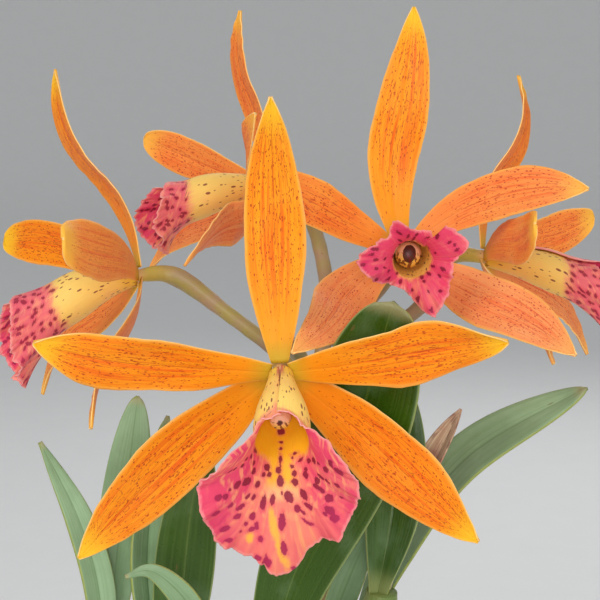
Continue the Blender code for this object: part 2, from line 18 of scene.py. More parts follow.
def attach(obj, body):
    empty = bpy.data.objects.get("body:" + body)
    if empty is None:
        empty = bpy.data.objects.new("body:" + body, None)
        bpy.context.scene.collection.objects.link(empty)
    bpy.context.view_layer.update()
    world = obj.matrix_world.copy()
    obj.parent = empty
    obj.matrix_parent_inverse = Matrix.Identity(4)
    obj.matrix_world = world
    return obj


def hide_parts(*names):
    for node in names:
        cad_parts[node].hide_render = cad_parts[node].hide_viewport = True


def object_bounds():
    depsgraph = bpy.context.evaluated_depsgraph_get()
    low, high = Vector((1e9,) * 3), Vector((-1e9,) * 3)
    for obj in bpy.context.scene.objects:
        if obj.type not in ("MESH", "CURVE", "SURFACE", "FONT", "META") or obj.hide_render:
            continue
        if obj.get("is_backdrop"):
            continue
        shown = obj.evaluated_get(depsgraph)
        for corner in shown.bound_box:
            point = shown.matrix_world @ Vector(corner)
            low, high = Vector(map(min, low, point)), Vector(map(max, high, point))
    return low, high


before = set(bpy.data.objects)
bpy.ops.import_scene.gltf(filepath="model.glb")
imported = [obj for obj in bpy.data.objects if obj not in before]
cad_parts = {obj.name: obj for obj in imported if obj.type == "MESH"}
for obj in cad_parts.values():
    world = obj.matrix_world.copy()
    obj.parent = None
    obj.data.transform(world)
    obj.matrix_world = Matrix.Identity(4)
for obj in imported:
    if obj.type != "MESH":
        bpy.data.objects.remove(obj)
CAD_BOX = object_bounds()

bl_info = {
    "name": "Potted Cattleya",
    "version": (1, 0, 0),
    "blender": (4, 5, 0),
    "location": "View3D > Sidebar > Cattleya",
    "description": "Builds a cattleya orchid in bloom in a clay pot, with its stage",
    "category": "Object",
}

MM = 0.001

POT_HEIGHT = 90.0
POT_FOOT_RADIUS = 38.0
POT_LIP_RADIUS = 52.0
POT_BAND_HEIGHT = 16.0
POT_BAND_PROUD = 3.0
POT_WALL = 4.5
POT_FLOOR = 6.0
POT_SIDES = 128
DRAIN_RADIUS = 4.0
DRAIN_DISTANCE = 19.0
DRAIN_HOLES = 4
DRAIN_SIDES = 40

BARK_LEVEL = 80.0
BARK_SIDES = 96
BARK_RINGS = 24

# Pieces stand this far apart. The finished feet of blades reach on by SEAT, into what carries them, so that
# no light shows there, and are back in their own place at 1 / SEAT_FADE of their length.
SEAT_GAP = 0.35
SEAT = 1.3
SEAT_FADE = 25
HUB_RADIUS = 2.0

# Where along a sepal or petal its headings are given, its breadth at the foot, and how its edges wave.
HEADINGS_AT = (0.12, 0.5, 0.88)
TEPAL_FOOT = 0.28
EDGE_WAVE = 0.5
WAVE_RATE, WAVE_SLANT = 11, 2.4
EDGE_WANDER = 0.03
WANDER_RATE, WANDER_SLANT = 13, 1.6
MIDRIB_GROOVE = 0.22

# A lip is a tube up to MOUTH of its grid's length, and beyond it a rim that curls out in RIM_STEPS.
MOUTH = 0.42
LIP_START = (0, -0.2, 2.2)
LIP_THROAT = 3.2
LIP_PINCH = 0.4
LIP_WRAP = 184.0
LIP_LAP = 0.1
LIP_SEAT = 0.6 * SEAT
LIP_TOP_STARTS = 60
RIM_STEPS = 6
RIM_BLUR = (-6, -3, 0, 3, 6)
FLARE_AT = (0, 90, 180)
RUFFLE_RATES = (7, 12)
FRILL_RATES = (29, 53)

# Points along and across the finest meshes of the thin pieces.
TEPAL_GRID = (72, 26)
FRONT_LIP_GRID = (110, 260)
LIP_GRID = (90, 200)
LEAF_GRID = (90, 26)
SPATHE_GRID = (60, 30)
SHEATH_GRID = (40, 60)

RHIZOME_RADIUS = 4.2
RHIZOME_LEVEL = 87.5
RHIZOME_JOINTS = 7
SCALES_PER_JOINT = 4
PEDUNCLE_RADIUS = 2.6
PEDUNCLE_JOINTS = (0.42, 0.66, 0.8, 0.92)
CANE_JOINTS = (0.1, 0.26, 0.46, 0.7, 0.9)
COLUMN_RADIUS = 2.5
# How far along its lip's tube a column reaches, how wide its end is and how large its dark cap.
COLUMN_SHARE = 0.86
FRONT_CLUB, FRONT_CAP = 1.0, 0.2
SIDE_CLUB, SIDE_CAP = 1.27, 1.5

CAMERA_AIM = (10.0, -37.5, 258.0)
CAMERA_DISTANCE = 420.0
CAMERA_TILT = 8.0
CAMERA_LENS = 99.3
LIGHT_AIM = (10, -10, 220)
# Each light's place in metres, its breadth and its share of the key light's power.
LIGHTS = {
    "key": ((-0.55, -0.85, 0.95), 0.7, 1.0),
    "fill": ((0.95, -0.55, 0.45), 0.8, 0.4),
    "front": ((0.05, -1.2, 0.42), 0.35, 0.7),
    "rear": ((0.3, 0.95, 0.8), 0.8, 0.4),
}


def tepal(length, clock, lean, half_width, widest=0.5, cup=14, twist=(0, 0), layer=-0.4, tip=0.75, gold=0.3,
          wavy=1.0):
    """One sepal or petal: its reach, its heading round the face and out of it at three places, its breadth.

    gold is how far its colour goes from orange to gold or, below zero, to peach.
    """
    return locals()


def lip(tube, heading, mouth, flare, rim, seam=0, ruffle=1.0, slant=0.15, rosy=0.15):
    """A bloom's lip: its tube, the way it heads, its mouth, how it flares and how far its rim reaches.

    rosy is how far its lobes go from salmon to rose.
    """
    return locals()


def side_rim(bottom, side, top):
    """The rim of a lip seen from its side, even left and right, by its reach at three places."""
    right = [(0, bottom), (45, (bottom + side) / 2 + 0.5), (90, side), (135, (side + top) / 2), (184, top)]
    return [(-angle, length) for angle, length in reversed(right[1:])] + right


def leaf(*route, half_width, widest=0.5, fold=14, face=(0, -1, 0.1), blunt=0.6, powder=0.0):
    """A leaf: the places its midrib runs through, its breadth, its fold in degrees and the way it faces.

    blunt is the power its tip closes with, and powder how far its colour goes from green to a waxy bloom.
    """
    return locals()


def cane(foot, top, thick):
    """A cane: where its foot stands, seen from above, where its top is and its greatest radius."""
    return locals()


# Marks on the front lip: angle round the mouth, reach past it, length, width and lean.

FRONT_MARKS = (
    (0, -7.6, 2, 2.1, 0), (0, -4.5, 0.8, 0.9, 0), (0, -2.5, 0.8, 0.9, 0), (-1, 0.8, 3.2, 0.9, -1),
    (-5, 3.4, 2, 1.8, 85), (-30, 3.1, 2.5, 1.7, 80), (-34, 4.9, 1.6, 1.3, 56),
    (-22, 4.6, 1.6, 1.3, 68), (-1, 6.1, 3, 2.3, -1), (-77, 1.1, 2.4, 1.1, 73),
    (-67, 3.5, 1.4, 1.4, 23), (-58, 5.2, 1.8, 1.9, 62), (-40, 7.7, 2, 1.7, 60),
    (-61, 8.1, 3.6, 2.3, 69), (-84, 3.4, 1.3, 1.1, 66), (-93, 5.5, 1.4, 1.1, 57),
    (-88, 6.8, 1.4, 1.2, 42), (-93, 9.2, 1.2, 1.1, -3), (-95, 10.7, 1.7, 1.2, -15),
    (-72, 10.4, 2.3, 2, -2), (-74, 12.4, 0.8, 0.9, 16), (-75, 15.7, 1.8, 2, -75),
    (-72, 14.3, 1.7, 1.8, 18), (-47, 14.2, 2.8, 1.8, 43), (-58, 15.2, 1.8, 1.4, 2),
    (-46, 11.2, 1.7, 1.4, 44), (-38, 11, 2, 1.4, 52), (-23, 11.6, 3.7, 1.9, -8),
    (-12, 10.5, 2.8, 1.8, -2), (1, 9, 0.8, 0.9, -89), (10, 10, 2.8, 3, 10),
    (23, 6.4, 2.3, 1.9, -67), (25, 4.3, 1.8, 1.8, 25), (23, 2.6, 1.3, 1, -67),
    (26, 0.5, 0.8, 0.9, -64), (31, -0.5, 1.7, 0.9, 86), (45, 1.5, 2.2, 0.9, 65), (46, 5.5, 2, 1.9, 16),
    (50, 4.2, 1.3, 1.3, -40), (66, 2.9, 2.3, 1.4, -64), (80, 4.2, 1.8, 1.7, 80),
    (31, 9.8, 3.1, 2.3, -19), (31, 12.9, 3.1, 1.4, -49), (18, 12.9, 2.2, 1.8, 18),
    (23, 14.1, 1.7, 1.1, -47), (59, 7.9, 2.2, 1.7, 59), (69, 8.1, 2.6, 1.2, -21),
    (72, 9.5, 1.2, 1.2, 72), (53, 9.2, 2.2, 1.4, -27), (56, 10.6, 1.7, 1.5, -14),
    (72, 10.4, 0.8, 0.9, -18), (78, 12.3, 1.6, 1.7, 78), (87, 8.3, 1.7, 1.8, -3),
    (101, 10, 2.2, 1.5, 81), (96, 12.2, 2.9, 2.2, 16), (64, 15.2, 1.2, 1.2, -26),
    (56, 13.2, 2.3, 2.5, -34), (49, 15.8, 2.8, 2.1, -21), (44, 16.1, 1.6, 1.1, -26),
    (48, 18.2, 2.3, 2.1, -12), (0, 16.2, 4.8, 2.3, 5), (1, 23.4, 4.3, 1.9, -9), (6, 30.3, 1.7, 1.5, 6),
    (-30, 15.8, 2.2, 2.2, 60), (-44, 17, 2, 2.1, 46), (-33, 18.3, 1.4, 1.4, -33),
    (-34, 20.7, 0.8, 0.9, 56), (-26, 19, 3, 1.1, 39), (-23, 17.6, 2.3, 1.5, -23),
    (-17, 20.6, 1.6, 1.5, -17), (-46, 21.2, 2.5, 2.4, 44), (-38, 24.4, 2.8, 1.4, 42),
    (-64, 18.7, 2.3, 2.2, 26), (-10, 27.1, 2.5, 2.6, -10), (-16, 25.8, 1.6, 1.7, -16),
    (-11, 25.5, 0.8, 0.9, 79), (23, 16.7, 3.6, 0.9, -42), (85, 5.9, 1, 1, -5),
)

# Yellow streaks on the front lip, given like its marks. The first two make one yellow stripe; the third, short
# one is a painted highlight, a bright orange spot on the salmon lobe.
FRONT_STREAKS = (
    (-8, 17.1, 7.7, 1.8, -20), (-1, 24.6, 8.2, 1.6, -19), (-25, 21.2, 2.1, 1.4, -15),
)

MARK_SPACING = 2.5

BLOOMS = {
    "front_bloom": {
        "hub": (5, -40, 240), "facing": (0, -20, 1),
        "stalk": [(13.3, -2.3, 226.5), (11.5, -9, 235), (8, -20, 243)],
        "dorsal_sepal": tepal(70, (92, 90, 90), (-22, -8, 8), 7.8, 0.45, gold=0.5),
        "left_sepal": tepal(69, (219, 219, 217), (5, 18, 34), 9.3, 0.52, gold=0.4),
        # The right sepal's gold is lower than the left sepal's, so that it is a deeper orange: painted shade on
        # the bloom's right side.
        "right_sepal": tepal(65.5, (-39, -42, -34), (4, 17, 32), 9.5, 0.55, gold=0.15),
        "left_petal": tepal(61, (169, 165, 156), (10, 17, 9), 8.0, 0.66, layer=0.8, wavy=2.2, gold=0.35),
        "right_petal": tepal(57, (12, 20, 14), (9, 13, 17), 8.4, 0.6, layer=0.8, wavy=2.2, gold=0.3),
        "lip": lip(21, (14, 30), 6.8, (62, 74, 40), (
            (-184, 1.5), (-128, 3), (-120, 12), (-117, 16), (-102, 17), (-88, 19), (-78, 20.5), (-70, 21.5),
            (-64, 22), (-56, 23.5), (-49, 24), (-43, 26.5), (-38, 27.5), (-31, 27.5), (-23, 26.5),
            (-17, 26.5), (-10, 29), (-4, 31.5), (4, 31.5), (10, 29), (13, 26.5), (21, 23.5), (24, 23),
            (32, 23.5), (37, 25), (44, 23), (57, 20.5), (70, 19), (85, 17.5), (98, 16), (112, 12), (119, 8),
            (128, 3), (184, 1.5)), slant=0.28, rosy=0.0),
    },
    "top_bloom": {
        "hub": (38.5, 4, 265.5), "facing": (4, 20, -6),
        "stalk": [(21, 4.8, 240), (25, 9, 245.5), (33, 15, 255)],
        "dorsal_sepal": tepal(66.5, (106, 82, 92), (8, 28, 12), 7.6, 0.5, gold=0.5),
        "left_sepal": tepal(62, (221, 248.5, 228), (19, 57, 39), 7.8, 0.43, gold=-0.8),
        "right_sepal": tepal(62, (-33, -33, -46), (20, 44, 38), 7.9, 0.5, gold=-0.9),
        "left_petal": tepal(50.5, (162, 167, 170), (21, 38, 30), 6.6, 0.6, layer=0.8, gold=-0.2),
        "right_petal": tepal(56.5, (42, 12, -8), (26, 44, 33), 6.8, 0.6, layer=0.8, gold=-0.5),
        "lip": lip(20, (16, 24), 5.2, (84, 74, 74), (
            (-224, 4), (-206, 7), (-187, 4), (-167, 6.5), (-156, 10), (-147, 10), (-135, 5), (-120, 8.5),
            (-104, 10.5), (-97, 13.5), (-88, 13.5), (-76, 12), (-64, 10), (-38, 4), (-16, 3.5), (4, 5),
            (16, 8.5), (22, 14), (37, 11.5), (51, 10.5), (59, 9.5), (65, 7), (79, 8), (89, 8.5), (96, 7),
            (104, 10), (112, 14), (117, 14.5), (123, 13.5), (134, 12), (144, 11)), seam=-40, rosy=1.0),
    },
    "left_bloom": {
        "hub": (-35.5, 8, 258.5), "facing": (-70, 4, 0),
        "stalk": [(11.15, 1.4, 231.5), (3, 2, 238.5), (-10, 5, 248)],
        "dorsal_sepal": tepal(61.5, (102, 96, 104), (12, 50, 5), 7.4, 0.5, twist=(0, 6), gold=0.2),
        "left_sepal": tepal(55, (218, 214.5, 271), (14, 32, 14), 7.4, 0.5, gold=-0.4),
        "right_sepal": tepal(56, (-40, -38, -46), (14, 38, 12), 7.4, 0.5, gold=-0.4),
        "left_petal": tepal(59, (170, 172, 189), (23, 34, 25), 6.8, 0.68, layer=0.8, tip=0.4, gold=0.2),
        "right_petal": tepal(57, (22, 9, 18), (24, 36, 40), 7.6, 0.72, layer=0.8, tip=0.3, gold=0.2),
        "lip": lip(24, (14, 37), 6.1, (26, 22, 20), side_rim(20, 17, 11)),
    },
    "back_bloom": {
        "hub": (-0.5, 38.5, 281.5), "facing": (-66, 6, 0),
        "stalk": [(17.2, 5.4, 242.7), (17.5, 18, 255), (14.5, 30, 269)],
        "dorsal_sepal": tepal(51, (104, 104, 90), (4, 26, 0), 6.4, 0.5, gold=-0.3),
        "left_sepal": tepal(48, (214, 210.5, 255), (19, 38, 29), 6.6, 0.5, gold=-0.7),
        "right_sepal": tepal(46, (-45, -13, -79), (32, 59.5, 40), 6.6, 0.5, twist=(0, 20), gold=-0.7),
        "left_petal": tepal(48, (172, 166, 158), (22, 24, 46), 6.4, 0.7, layer=0.8, tip=0.4, gold=-0.4),
        "right_petal": tepal(48, (18, 21, 45), (28, 40, 6), 6.4, 0.6, layer=0.8, gold=-0.4),
        "lip": lip(25, (9, 26), 5.6, (42, 30, 26), side_rim(11, 13.5, 5)),
    },
    "right_bloom": {
        "hub": (62.5, 15.5, 263), "facing": (70, 4, 0),
        "stalk": [(18.7, 1.0, 226), (29, 8, 238), (45, 12, 250)],
        "dorsal_sepal": tepal(52.5, (80, 75, 83), (-1, 43, -12), 7.8, 0.5, gold=0.0),
        "left_sepal": tepal(43, (222, 221, 237), (24, 52, 24), 6.6, 0.5, gold=-0.7),
        "right_sepal": tepal(52, (-28, -34, -88), (20, 36, 20), 6.8, 0.5, gold=-0.7),
        "left_petal": tepal(47, (159, 176, 154), (26, 36, 26), 6.6, 0.72, layer=0.8, tip=0.35, gold=0.1),
        "right_petal": tepal(47, (10, 0, 22), (26, 27, 37), 6.6, 0.7, layer=0.8, tip=0.4, gold=-0.3),
        "lip": lip(24, (10, 25), 5.3, (28, 22, 16), side_rim(19, 16, 8)),
    },
}

TEPALS = ("dorsal_sepal", "left_sepal", "right_sepal", "left_petal", "right_petal")


CANES = {
    "right_cane": cane((24, -5), (32.5, -14, 174), 8.0),
    "centre_cane": cane((-3, -6), (1, -20, 148), 7.5),
    "far_left_cane": cane((-37, 5), (-46, -2, 144), 7.0),
    "left_cane": cane((-24, -1), (-28, -8, 143), 7.5),
    "young_cane": cane((-10, -20), (-12, -36, 161), 6.0),
    "flowering_cane": cane((11, 7), (20, 10, 148), 8.0),
}

RHIZOME_ROUTE = [(x, y, RHIZOME_LEVEL) for x, y in
                 ((-40, 6), (-30, 1), (-20, -4), (-10, -21), (-3, -7), (5, 2), (14, 6), (26, -6))]
PEDUNCLE_ROUTE = [(20, 10, 149.2), (17, 7, 175), (14, 3, 205), (14, 1.5, 225), (17, 5, 241)]

LEAVES = {
    "leaf_broad_front": leaf((0, -21, 148.7), (8, -23, 180), (22.5, -28, 215), (33.5, -41.5, 258),
                             half_width=13.8, widest=0.72, face=(-0.1, -1, 0.2), blunt=0.4),
    "leaf_broad_behind": leaf((31.5, -15, 174.6), (35, -12, 195), (37, -7, 215), (37, -4, 234),
                              half_width=8.5, fold=18, powder=0.1),
    "leaf_far_right": leaf((25.6, 11, 147), (38, 8, 177), (57, 0, 207.5), (88, -11, 230),
                           half_width=8.8, widest=0.55, face=(-0.7, -0.6, 0.6), powder=1.0),
    "leaf_low_right": leaf((18.2, 4.9, 148.1), (21, 0, 165), (26, -4, 180), (30, -6, 190),
                           half_width=4.5, powder=0.7),
    "leaf_left_tall": leaf((-45, 0, 145.5), (-42.5, 2, 175), (-39, 5, 200), (-36, 8, 224),
                           half_width=6.8, widest=0.62, blunt=0.5, powder=0.85),
    "leaf_far_left": leaf((-47, -4, 144.4), (-46.5, -5, 170), (-52, -5, 192), (-62.5, -2, 213),
                          half_width=5.0, widest=0.4, fold=24, face=(0.5, -1, 0.1), blunt=0.7, powder=0.9),
    "leaf_left_folded": leaf((-29, -6, 143.9), (-33, -3, 175), (-31, -1, 200), (-27, 0, 220),
                             half_width=6.5, widest=0.4, fold=40, face=(0.2, -1, 0.1), powder=0.6),
    "leaf_left_centre": leaf((-27, -10, 143.9), (-23, -11, 170), (-20, -12, 195), (-16, -12, 217),
                             half_width=8.5, powder=0.1),
    "leaf_small_arching": leaf((-12.5, -36.5, 161.6), (-16, -40, 174), (-21, -43, 183), (-28, -44.5, 189),
                               (-34.5, -44.5, 187.5), half_width=3.6, widest=0.45, fold=18,
                               face=(-0.3, -0.8, 0.5), blunt=0.8, powder=0.6),
}

OLD_SPATHE = leaf((35, -11.8, 174.6), (41, -6, 192), (47.5, -5, 208), (54.5, -5, 223),
                  half_width=5.6, widest=0.62, fold=52, face=(-0.6, -0.8, 0.3), blunt=0.8)

FLOWER_SHEATH = {"height": 24.0, "radius": 3.8, "half_width": 10.0}


def colour_setting(name, description, *default):
    return FloatVectorProperty(name=name, description=description, subtype="COLOR", default=default,
                               min=0, max=1)


def length_setting(name, description, default, low, high):
    """A length, its usual value and its limits given in millimetres."""
    return FloatProperty(name=name, description=description, unit="LENGTH", precision=5,
                         default=default * MM, min=low * MM, max=high * MM)


class OrchidBloomSettings(bpy.types.PropertyGroup):
    """Colours and thicknesses of the blooms."""

    orange: colour_setting("Orange", "Colour of a sepal or petal", 0.90, 0.235, 0.002)
    gold: colour_setting("Gold", "Colour of the yellower sepals and petals", 0.95, 0.40, 0.004)
    peach: colour_setting(
        "Peach", "Colour of the pinker sepals and petals and of all backs", 0.94, 0.35, 0.12)
    rose: colour_setting("Rose", "Colour of a lip's lobes", 0.76, 0.055, 0.13)
    salmon: colour_setting("Salmon", "Colour of the middle of a lip's lobes", 0.90, 0.215, 0.15)
    throat: colour_setting("Throat", "Colour inside a lip's tube", 0.95, 0.47, 0.015)
    maroon: colour_setting("Maroon", "Colour of the blotches on a lip", 0.24, 0.007, 0.030)
    tepal_thickness: length_setting(
        "Petal thickness", "Thickness of a sepal or petal at its middle", 0.8, 0.3, 2)
    lip_thickness: length_setting("Lip thickness", "Thickness of a lip", 0.6, 0.3, 2)


class OrchidPlantSettings(bpy.types.PropertyGroup):
    """Colours and thicknesses of the leaves and sheaths."""

    leaf_green: colour_setting("Leaf green", "Colour of a fresh leaf", 0.032, 0.078, 0.003)
    leaf_powder: colour_setting("Leaf bloom", "Colour of a leaf with a waxy bluish bloom", 0.31, 0.46, 0.26)
    leaf_thickness: length_setting("Leaf thickness", "Thickness of a leaf at its midrib", 1.5, 0.5, 3)
    paper_thickness: length_setting("Sheath thickness", "Thickness of a dry sheath", 0.6, 0.3, 2)


class OrchidPotSettings(bpy.types.PropertyGroup):
    """The pot's colour and how much bark lies in it."""

    clay: colour_setting("Clay", "Colour of the fired clay", 0.50, 0.185, 0.085)
    chips: IntProperty(name="Bark chips", description="How many chips are tried on the bark bed",
                       default=330, min=10, max=800)


class OrchidStageSettings(bpy.types.PropertyGroup):
    """The floor and the lights."""

    floor_radius: FloatProperty(name="Floor radius", description="How far the floor reaches",
                                unit="LENGTH", default=3.0, min=1, max=10)
    key_power: FloatProperty(name="Key light", description="Power of the largest light",
                             unit="POWER", default=6.4, min=0)


def as_row(numbers):
    return np.asarray(numbers, float)


def rows_of(*columns):
    """Rows of one number from each column. A column may be a single number."""
    return np.stack(np.broadcast_arrays(*columns), axis=1)


def column(values):
    """Numbers as a column, so that they scale rows of vectors."""
    return np.asarray(values)[:, None]


def unit(rows):
    return rows / np.linalg.norm(rows, axis=-1, keepdims=True)


def smooth_route(points, count=80):
    """The given points joined by one smooth curve, as evenly spaced places and their directions."""
    knots = as_row(points)
    knots = np.vstack([2 * knots[0] - knots[1], knots, 2 * knots[-1] - knots[-2]])
    dense = []
    for a, b, c, d in zip(knots, knots[1:], knots[2:], knots[3:]):
        for step in range(20):
            t = step / 20
            dense.append(0.5 * (2 * b + (c - a) * t + (2 * a - 5 * b + 4 * c - d) * t * t
                                + (3 * b - a - 3 * c + d) * t**3))
    dense = np.array([*dense, knots[-2]])
    run = np.concatenate([[0], np.cumsum(np.linalg.norm(np.diff(dense, axis=0), axis=1))])
    even = np.linspace(0, run[-1], count)
    places = rows_of(*(np.interp(even, run, dense[:, axis]) for axis in range(3)))
    return places, unit(np.gradient(places, axis=0))


def route_length(route):
    places, _ = smooth_route(route)
    return float(np.linalg.norm(np.diff(places, axis=0), axis=1).sum())


def at(places, share):
    """The places at the given shares of the way along a list of evenly spaced ones."""
    even = np.linspace(0, 1, len(places))
    return rows_of(*(np.interp(share, even, places[:, axis]) for axis in range(3)))


def walked_route(start, length, heading_at, steps=40):
    """Places reached by walking a length from start, heading where heading_at says at each share of it."""
    headings = heading_at((np.arange(steps) + 0.5) / steps)
    return as_row(start) + np.vstack([np.zeros(3), np.cumsum(headings, axis=0) * (length / steps)])


def swell(share, widest, foot, tip_power=0.75):
    """A blade's breadth, as a share of its most: from its foot out to the widest place and in to a tip."""
    out = foot + (1 - foot) * np.sin(np.pi / 2 * np.minimum(share / widest, 1))
    closing = np.cos(np.pi / 2 * np.clip((share - widest) / (1 - widest), 0, 1))
    return np.where(share < widest, out, np.maximum(closing, 0) ** tip_power)


def rough(values, seed, step=1.0):
    """A smooth random line read at the given places, even from run to run."""
    return np.array([noise.noise(Vector((value / step, seed, 0.5))) for value in values])


def seated(places, ahead, along):
    """The midrib of a blade, drawn out at its foot into what carries it."""
    return places - ahead * column(SEAT * np.maximum(1 - SEAT_FADE * along, 0))


def tepal_surface(shape, seed):
    """A function from shares along and across to points of the tepal, in its bloom's frame."""
    out_of_face = as_row((0, 0, 1))

    def directions(share):
        clock = np.radians(np.interp(share, HEADINGS_AT, shape["clock"]))
        lean = np.radians(np.interp(share, HEADINGS_AT, shape["lean"]))
        out = rows_of(np.cos(clock), np.sin(clock), 0)
        ahead = out * column(np.cos(lean)) + out_of_face * column(np.sin(lean))
        face = out_of_face * column(np.cos(lean)) - out * column(np.sin(lean))
        return ahead, face

    first = math.radians(shape["clock"][0])
    reach = HUB_RADIUS + SEAT_GAP
    start = (reach * math.cos(first), reach * math.sin(first), shape["layer"])
    midrib = walked_route(start, shape["length"], lambda share: directions(share)[0])

    def surface(along, across):
        ahead, face = directions(along)
        turn = np.radians(shape["twist"][0] + (shape["twist"][1] - shape["twist"][0]) * along)
        face = face * column(np.cos(turn)) + np.cross(ahead, face) * column(np.sin(turn))
        side = np.cross(ahead, face)
        half = shape["half_width"] * swell(along, shape["widest"], TEPAL_FOOT, shape["tip"])
        half = np.maximum(half, 0.35)
        wander = EDGE_WANDER * shape["wavy"] * np.sin(WANDER_RATE * along + WANDER_SLANT * across)
        nicks = along * 40 + across * 3
        fine = 0.02 * rough(nicks, seed, 2.0) + 0.03 * rough(nicks, seed, 6.0)
        half = half * (1 + (wander * np.minimum(along * 2, 1) + fine) * np.abs(across) ** 3)
        cup = np.maximum(math.radians(shape["cup"]) * np.minimum(along * 4, 1), 1e-4)
        bend = across * cup
        wave = EDGE_WAVE * shape["wavy"] * across**2 * np.sin(WAVE_RATE * along + WAVE_SLANT * across)
        ripple = 0.16 * across**4 * np.sin(37 * along + 5 * np.sin(9 * along + seed) + 2 * across)
        groove = MIDRIB_GROOVE * np.exp(-(across / 0.07) ** 2) * np.sin(np.pi * np.clip(along, 0, 1)) ** 0.5
        rise = half * (1 - np.cos(bend)) / cup + (wave + ripple) * along - groove
        return at(midrib, along) + side * column(half * np.sin(bend) / cup) + face * column(rise)

    return surface


def lip_surface(shape, seed):
    """A function from shares along and across to points of the lip, in its bloom's frame."""
    right = as_row((1, 0, 0))

    def heading_at(share):
        below = np.radians(np.interp(share, (0, 1), shape["heading"]))
        return rows_of(0, -np.sin(below), np.cos(below))

    middles = walked_route(LIP_START, shape["tube"], heading_at)
    rim_angles, rim_reaches = zip(*shape["rim"])

    def surface(along, across):
        share = np.minimum(along / MOUTH, 1)
        angle = lip_angle(shape, along, across)
        turn = np.radians(angle)
        run = share * (1 - shape["slant"] * topness(angle))
        ahead = heading_at(run)
        spoke = right * column(np.sin(turn)) + np.cross(right, ahead) * column(np.cos(turn))
        grown = (1 - np.cos(np.pi * np.minimum(share * 1.2, 1))) / 2
        radius = LIP_THROAT + (shape["mouth"] - LIP_THROAT) * grown - LIP_PINCH * np.maximum(1 - 6 * share, 0)
        place = at(middles, run) + spoke * column(radius * (1 + LIP_LAP * across))
        place = place - ahead * column(LIP_SEAT * np.maximum(1 - 8 * share, 0))
        lobe = np.maximum((along - MOUTH) / (1 - MOUTH), 0)
        reach = sum(np.interp(angle + blur, rim_angles, rim_reaches) for blur in RIM_BLUR) / len(RIM_BLUR)
        fringe = 0.9 * rough(angle, seed, 5.0) + 0.5 * rough(angle, seed + 3, 1.9)
        reach = reach + fringe * lobe**4 * np.minimum(reach / 8, 1)
        flare = np.radians(np.interp(np.abs(angle), FLARE_AT, shape["flare"]))
        for step in range(RIM_STEPS):
            tilt = flare * (lobe * (step + 0.5) / RIM_STEPS) ** 0.6
            ray = ahead * column(np.cos(tilt)) + spoke * column(np.sin(tilt))
            place = place + ray * column(reach * lobe / RIM_STEPS)
        wave = np.sin(turn * RUFFLE_RATES[0]) + 0.5 * np.sin(turn * RUFFLE_RATES[1] + 1)
        frill = 0.35 * np.sin(turn * FRILL_RATES[0] + 2 * np.sin(turn * 5 + seed))
        frill += 0.2 * np.sin(turn * FRILL_RATES[1])
        ruffle = shape["ruffle"] * (1 - across**6) * (wave * lobe**2 + frill * lobe**5)
        normal = spoke * column(np.cos(tilt)) - ahead * column(np.sin(tilt))
        return place + normal * column(ruffle)

    return surface


def topness(angle):
    """0 over the lower half of a lip's mouth, rising to 1 at its top."""
    share = np.clip((np.abs(angle) - LIP_TOP_STARTS) / (180 - LIP_TOP_STARTS), 0, 1)
    return share * share * (3 - 2 * share)


def lip_angle(shape, along, across):
    """How far round the mouth a point of the lip lies, in degrees from the lowest place."""
    wrap = LIP_WRAP * (0.95 + 0.05 * np.minimum(along / MOUTH, 1))
    return wrap * across * (0.6 + 0.4 * across * across) + shape["seam"] * across * across


def scattered_marks(shape, seed):
    """Blotches for a lip that the photograph shows less of: rows round its mouth, each shifted at random."""
    dice = random.Random(seed)
    rim_angles, rim_reaches = zip(*shape["rim"])
    marks = []
    reach = 1.2
    while reach < max(rim_reaches):
        around = shape["mouth"] + 0.5 * reach
        count = round(2 * math.pi * around / MARK_SPACING)
        step = (rim_angles[-1] - rim_angles[0]) / count
        for index in range(count):
            angle = rim_angles[0] + (index + dice.uniform(0.1, 0.9)) * step
            out = reach + dice.uniform(-0.9, 0.9)
            if out < np.interp(angle, rim_angles, rim_reaches) - 1 and dice.random() < 0.8:
                marks.append((angle, out, dice.uniform(1.0, 2.3), dice.uniform(0.7, 1.2),
                              dice.uniform(-35, 35)))
        reach += MARK_SPACING
    return marks


def mark_depths(shape, turn, run, marks):
    """How far inside the nearest mark each point of a lip lies, in millimetres; below 0 is outside."""
    depth = np.full_like(turn, -5.0)
    for angle, reach, length, width, lean in marks:
        flare = math.radians(np.interp(abs(angle), FLARE_AT, shape["flare"]))
        around = shape["mouth"] + max(reach, 0) * math.sin(0.7 * flare)
        ahead = run - shape["tube"] - reach
        aside = (turn - math.radians(angle)) * around
        cos, sin = math.cos(math.radians(lean)), math.sin(math.radians(lean))
        off = np.hypot((ahead * cos - aside * sin) / length, (ahead * sin + aside * cos) / width)
        depth = np.maximum(depth, (0.5 - off) * width)
    return depth


def leaf_surface(shape, seed):
    """A function from shares along and across to points of a leaf, folded along its midrib."""
    midrib, headings = smooth_route(shape["route"], 60)

    def surface(along, across):
        ahead = unit(at(headings, along))
        face = as_row(shape["face"]) - ahead * column(ahead @ as_row(shape["face"]))
        face = unit(face)
        side = np.cross(ahead, face)
        half = np.maximum(shape["half_width"] * swell(along, shape["widest"], 0.32, shape["blunt"]), 0.2)
        fold = math.radians(shape["fold"]) * (1.3 - 0.6 * along)
        wave = 0.25 * across**2 * np.sin(9 * along + seed + 2 * across)
        bent = np.sqrt(across**2 + 0.003) - math.sqrt(0.003)
        rise = half * bent * np.sin(fold) + wave * np.minimum(along * 3, 1)
        foot = seated(at(midrib, along), ahead, along)
        return foot + side * column(half * across * np.cos(fold)) + face * column(rise)

    return surface


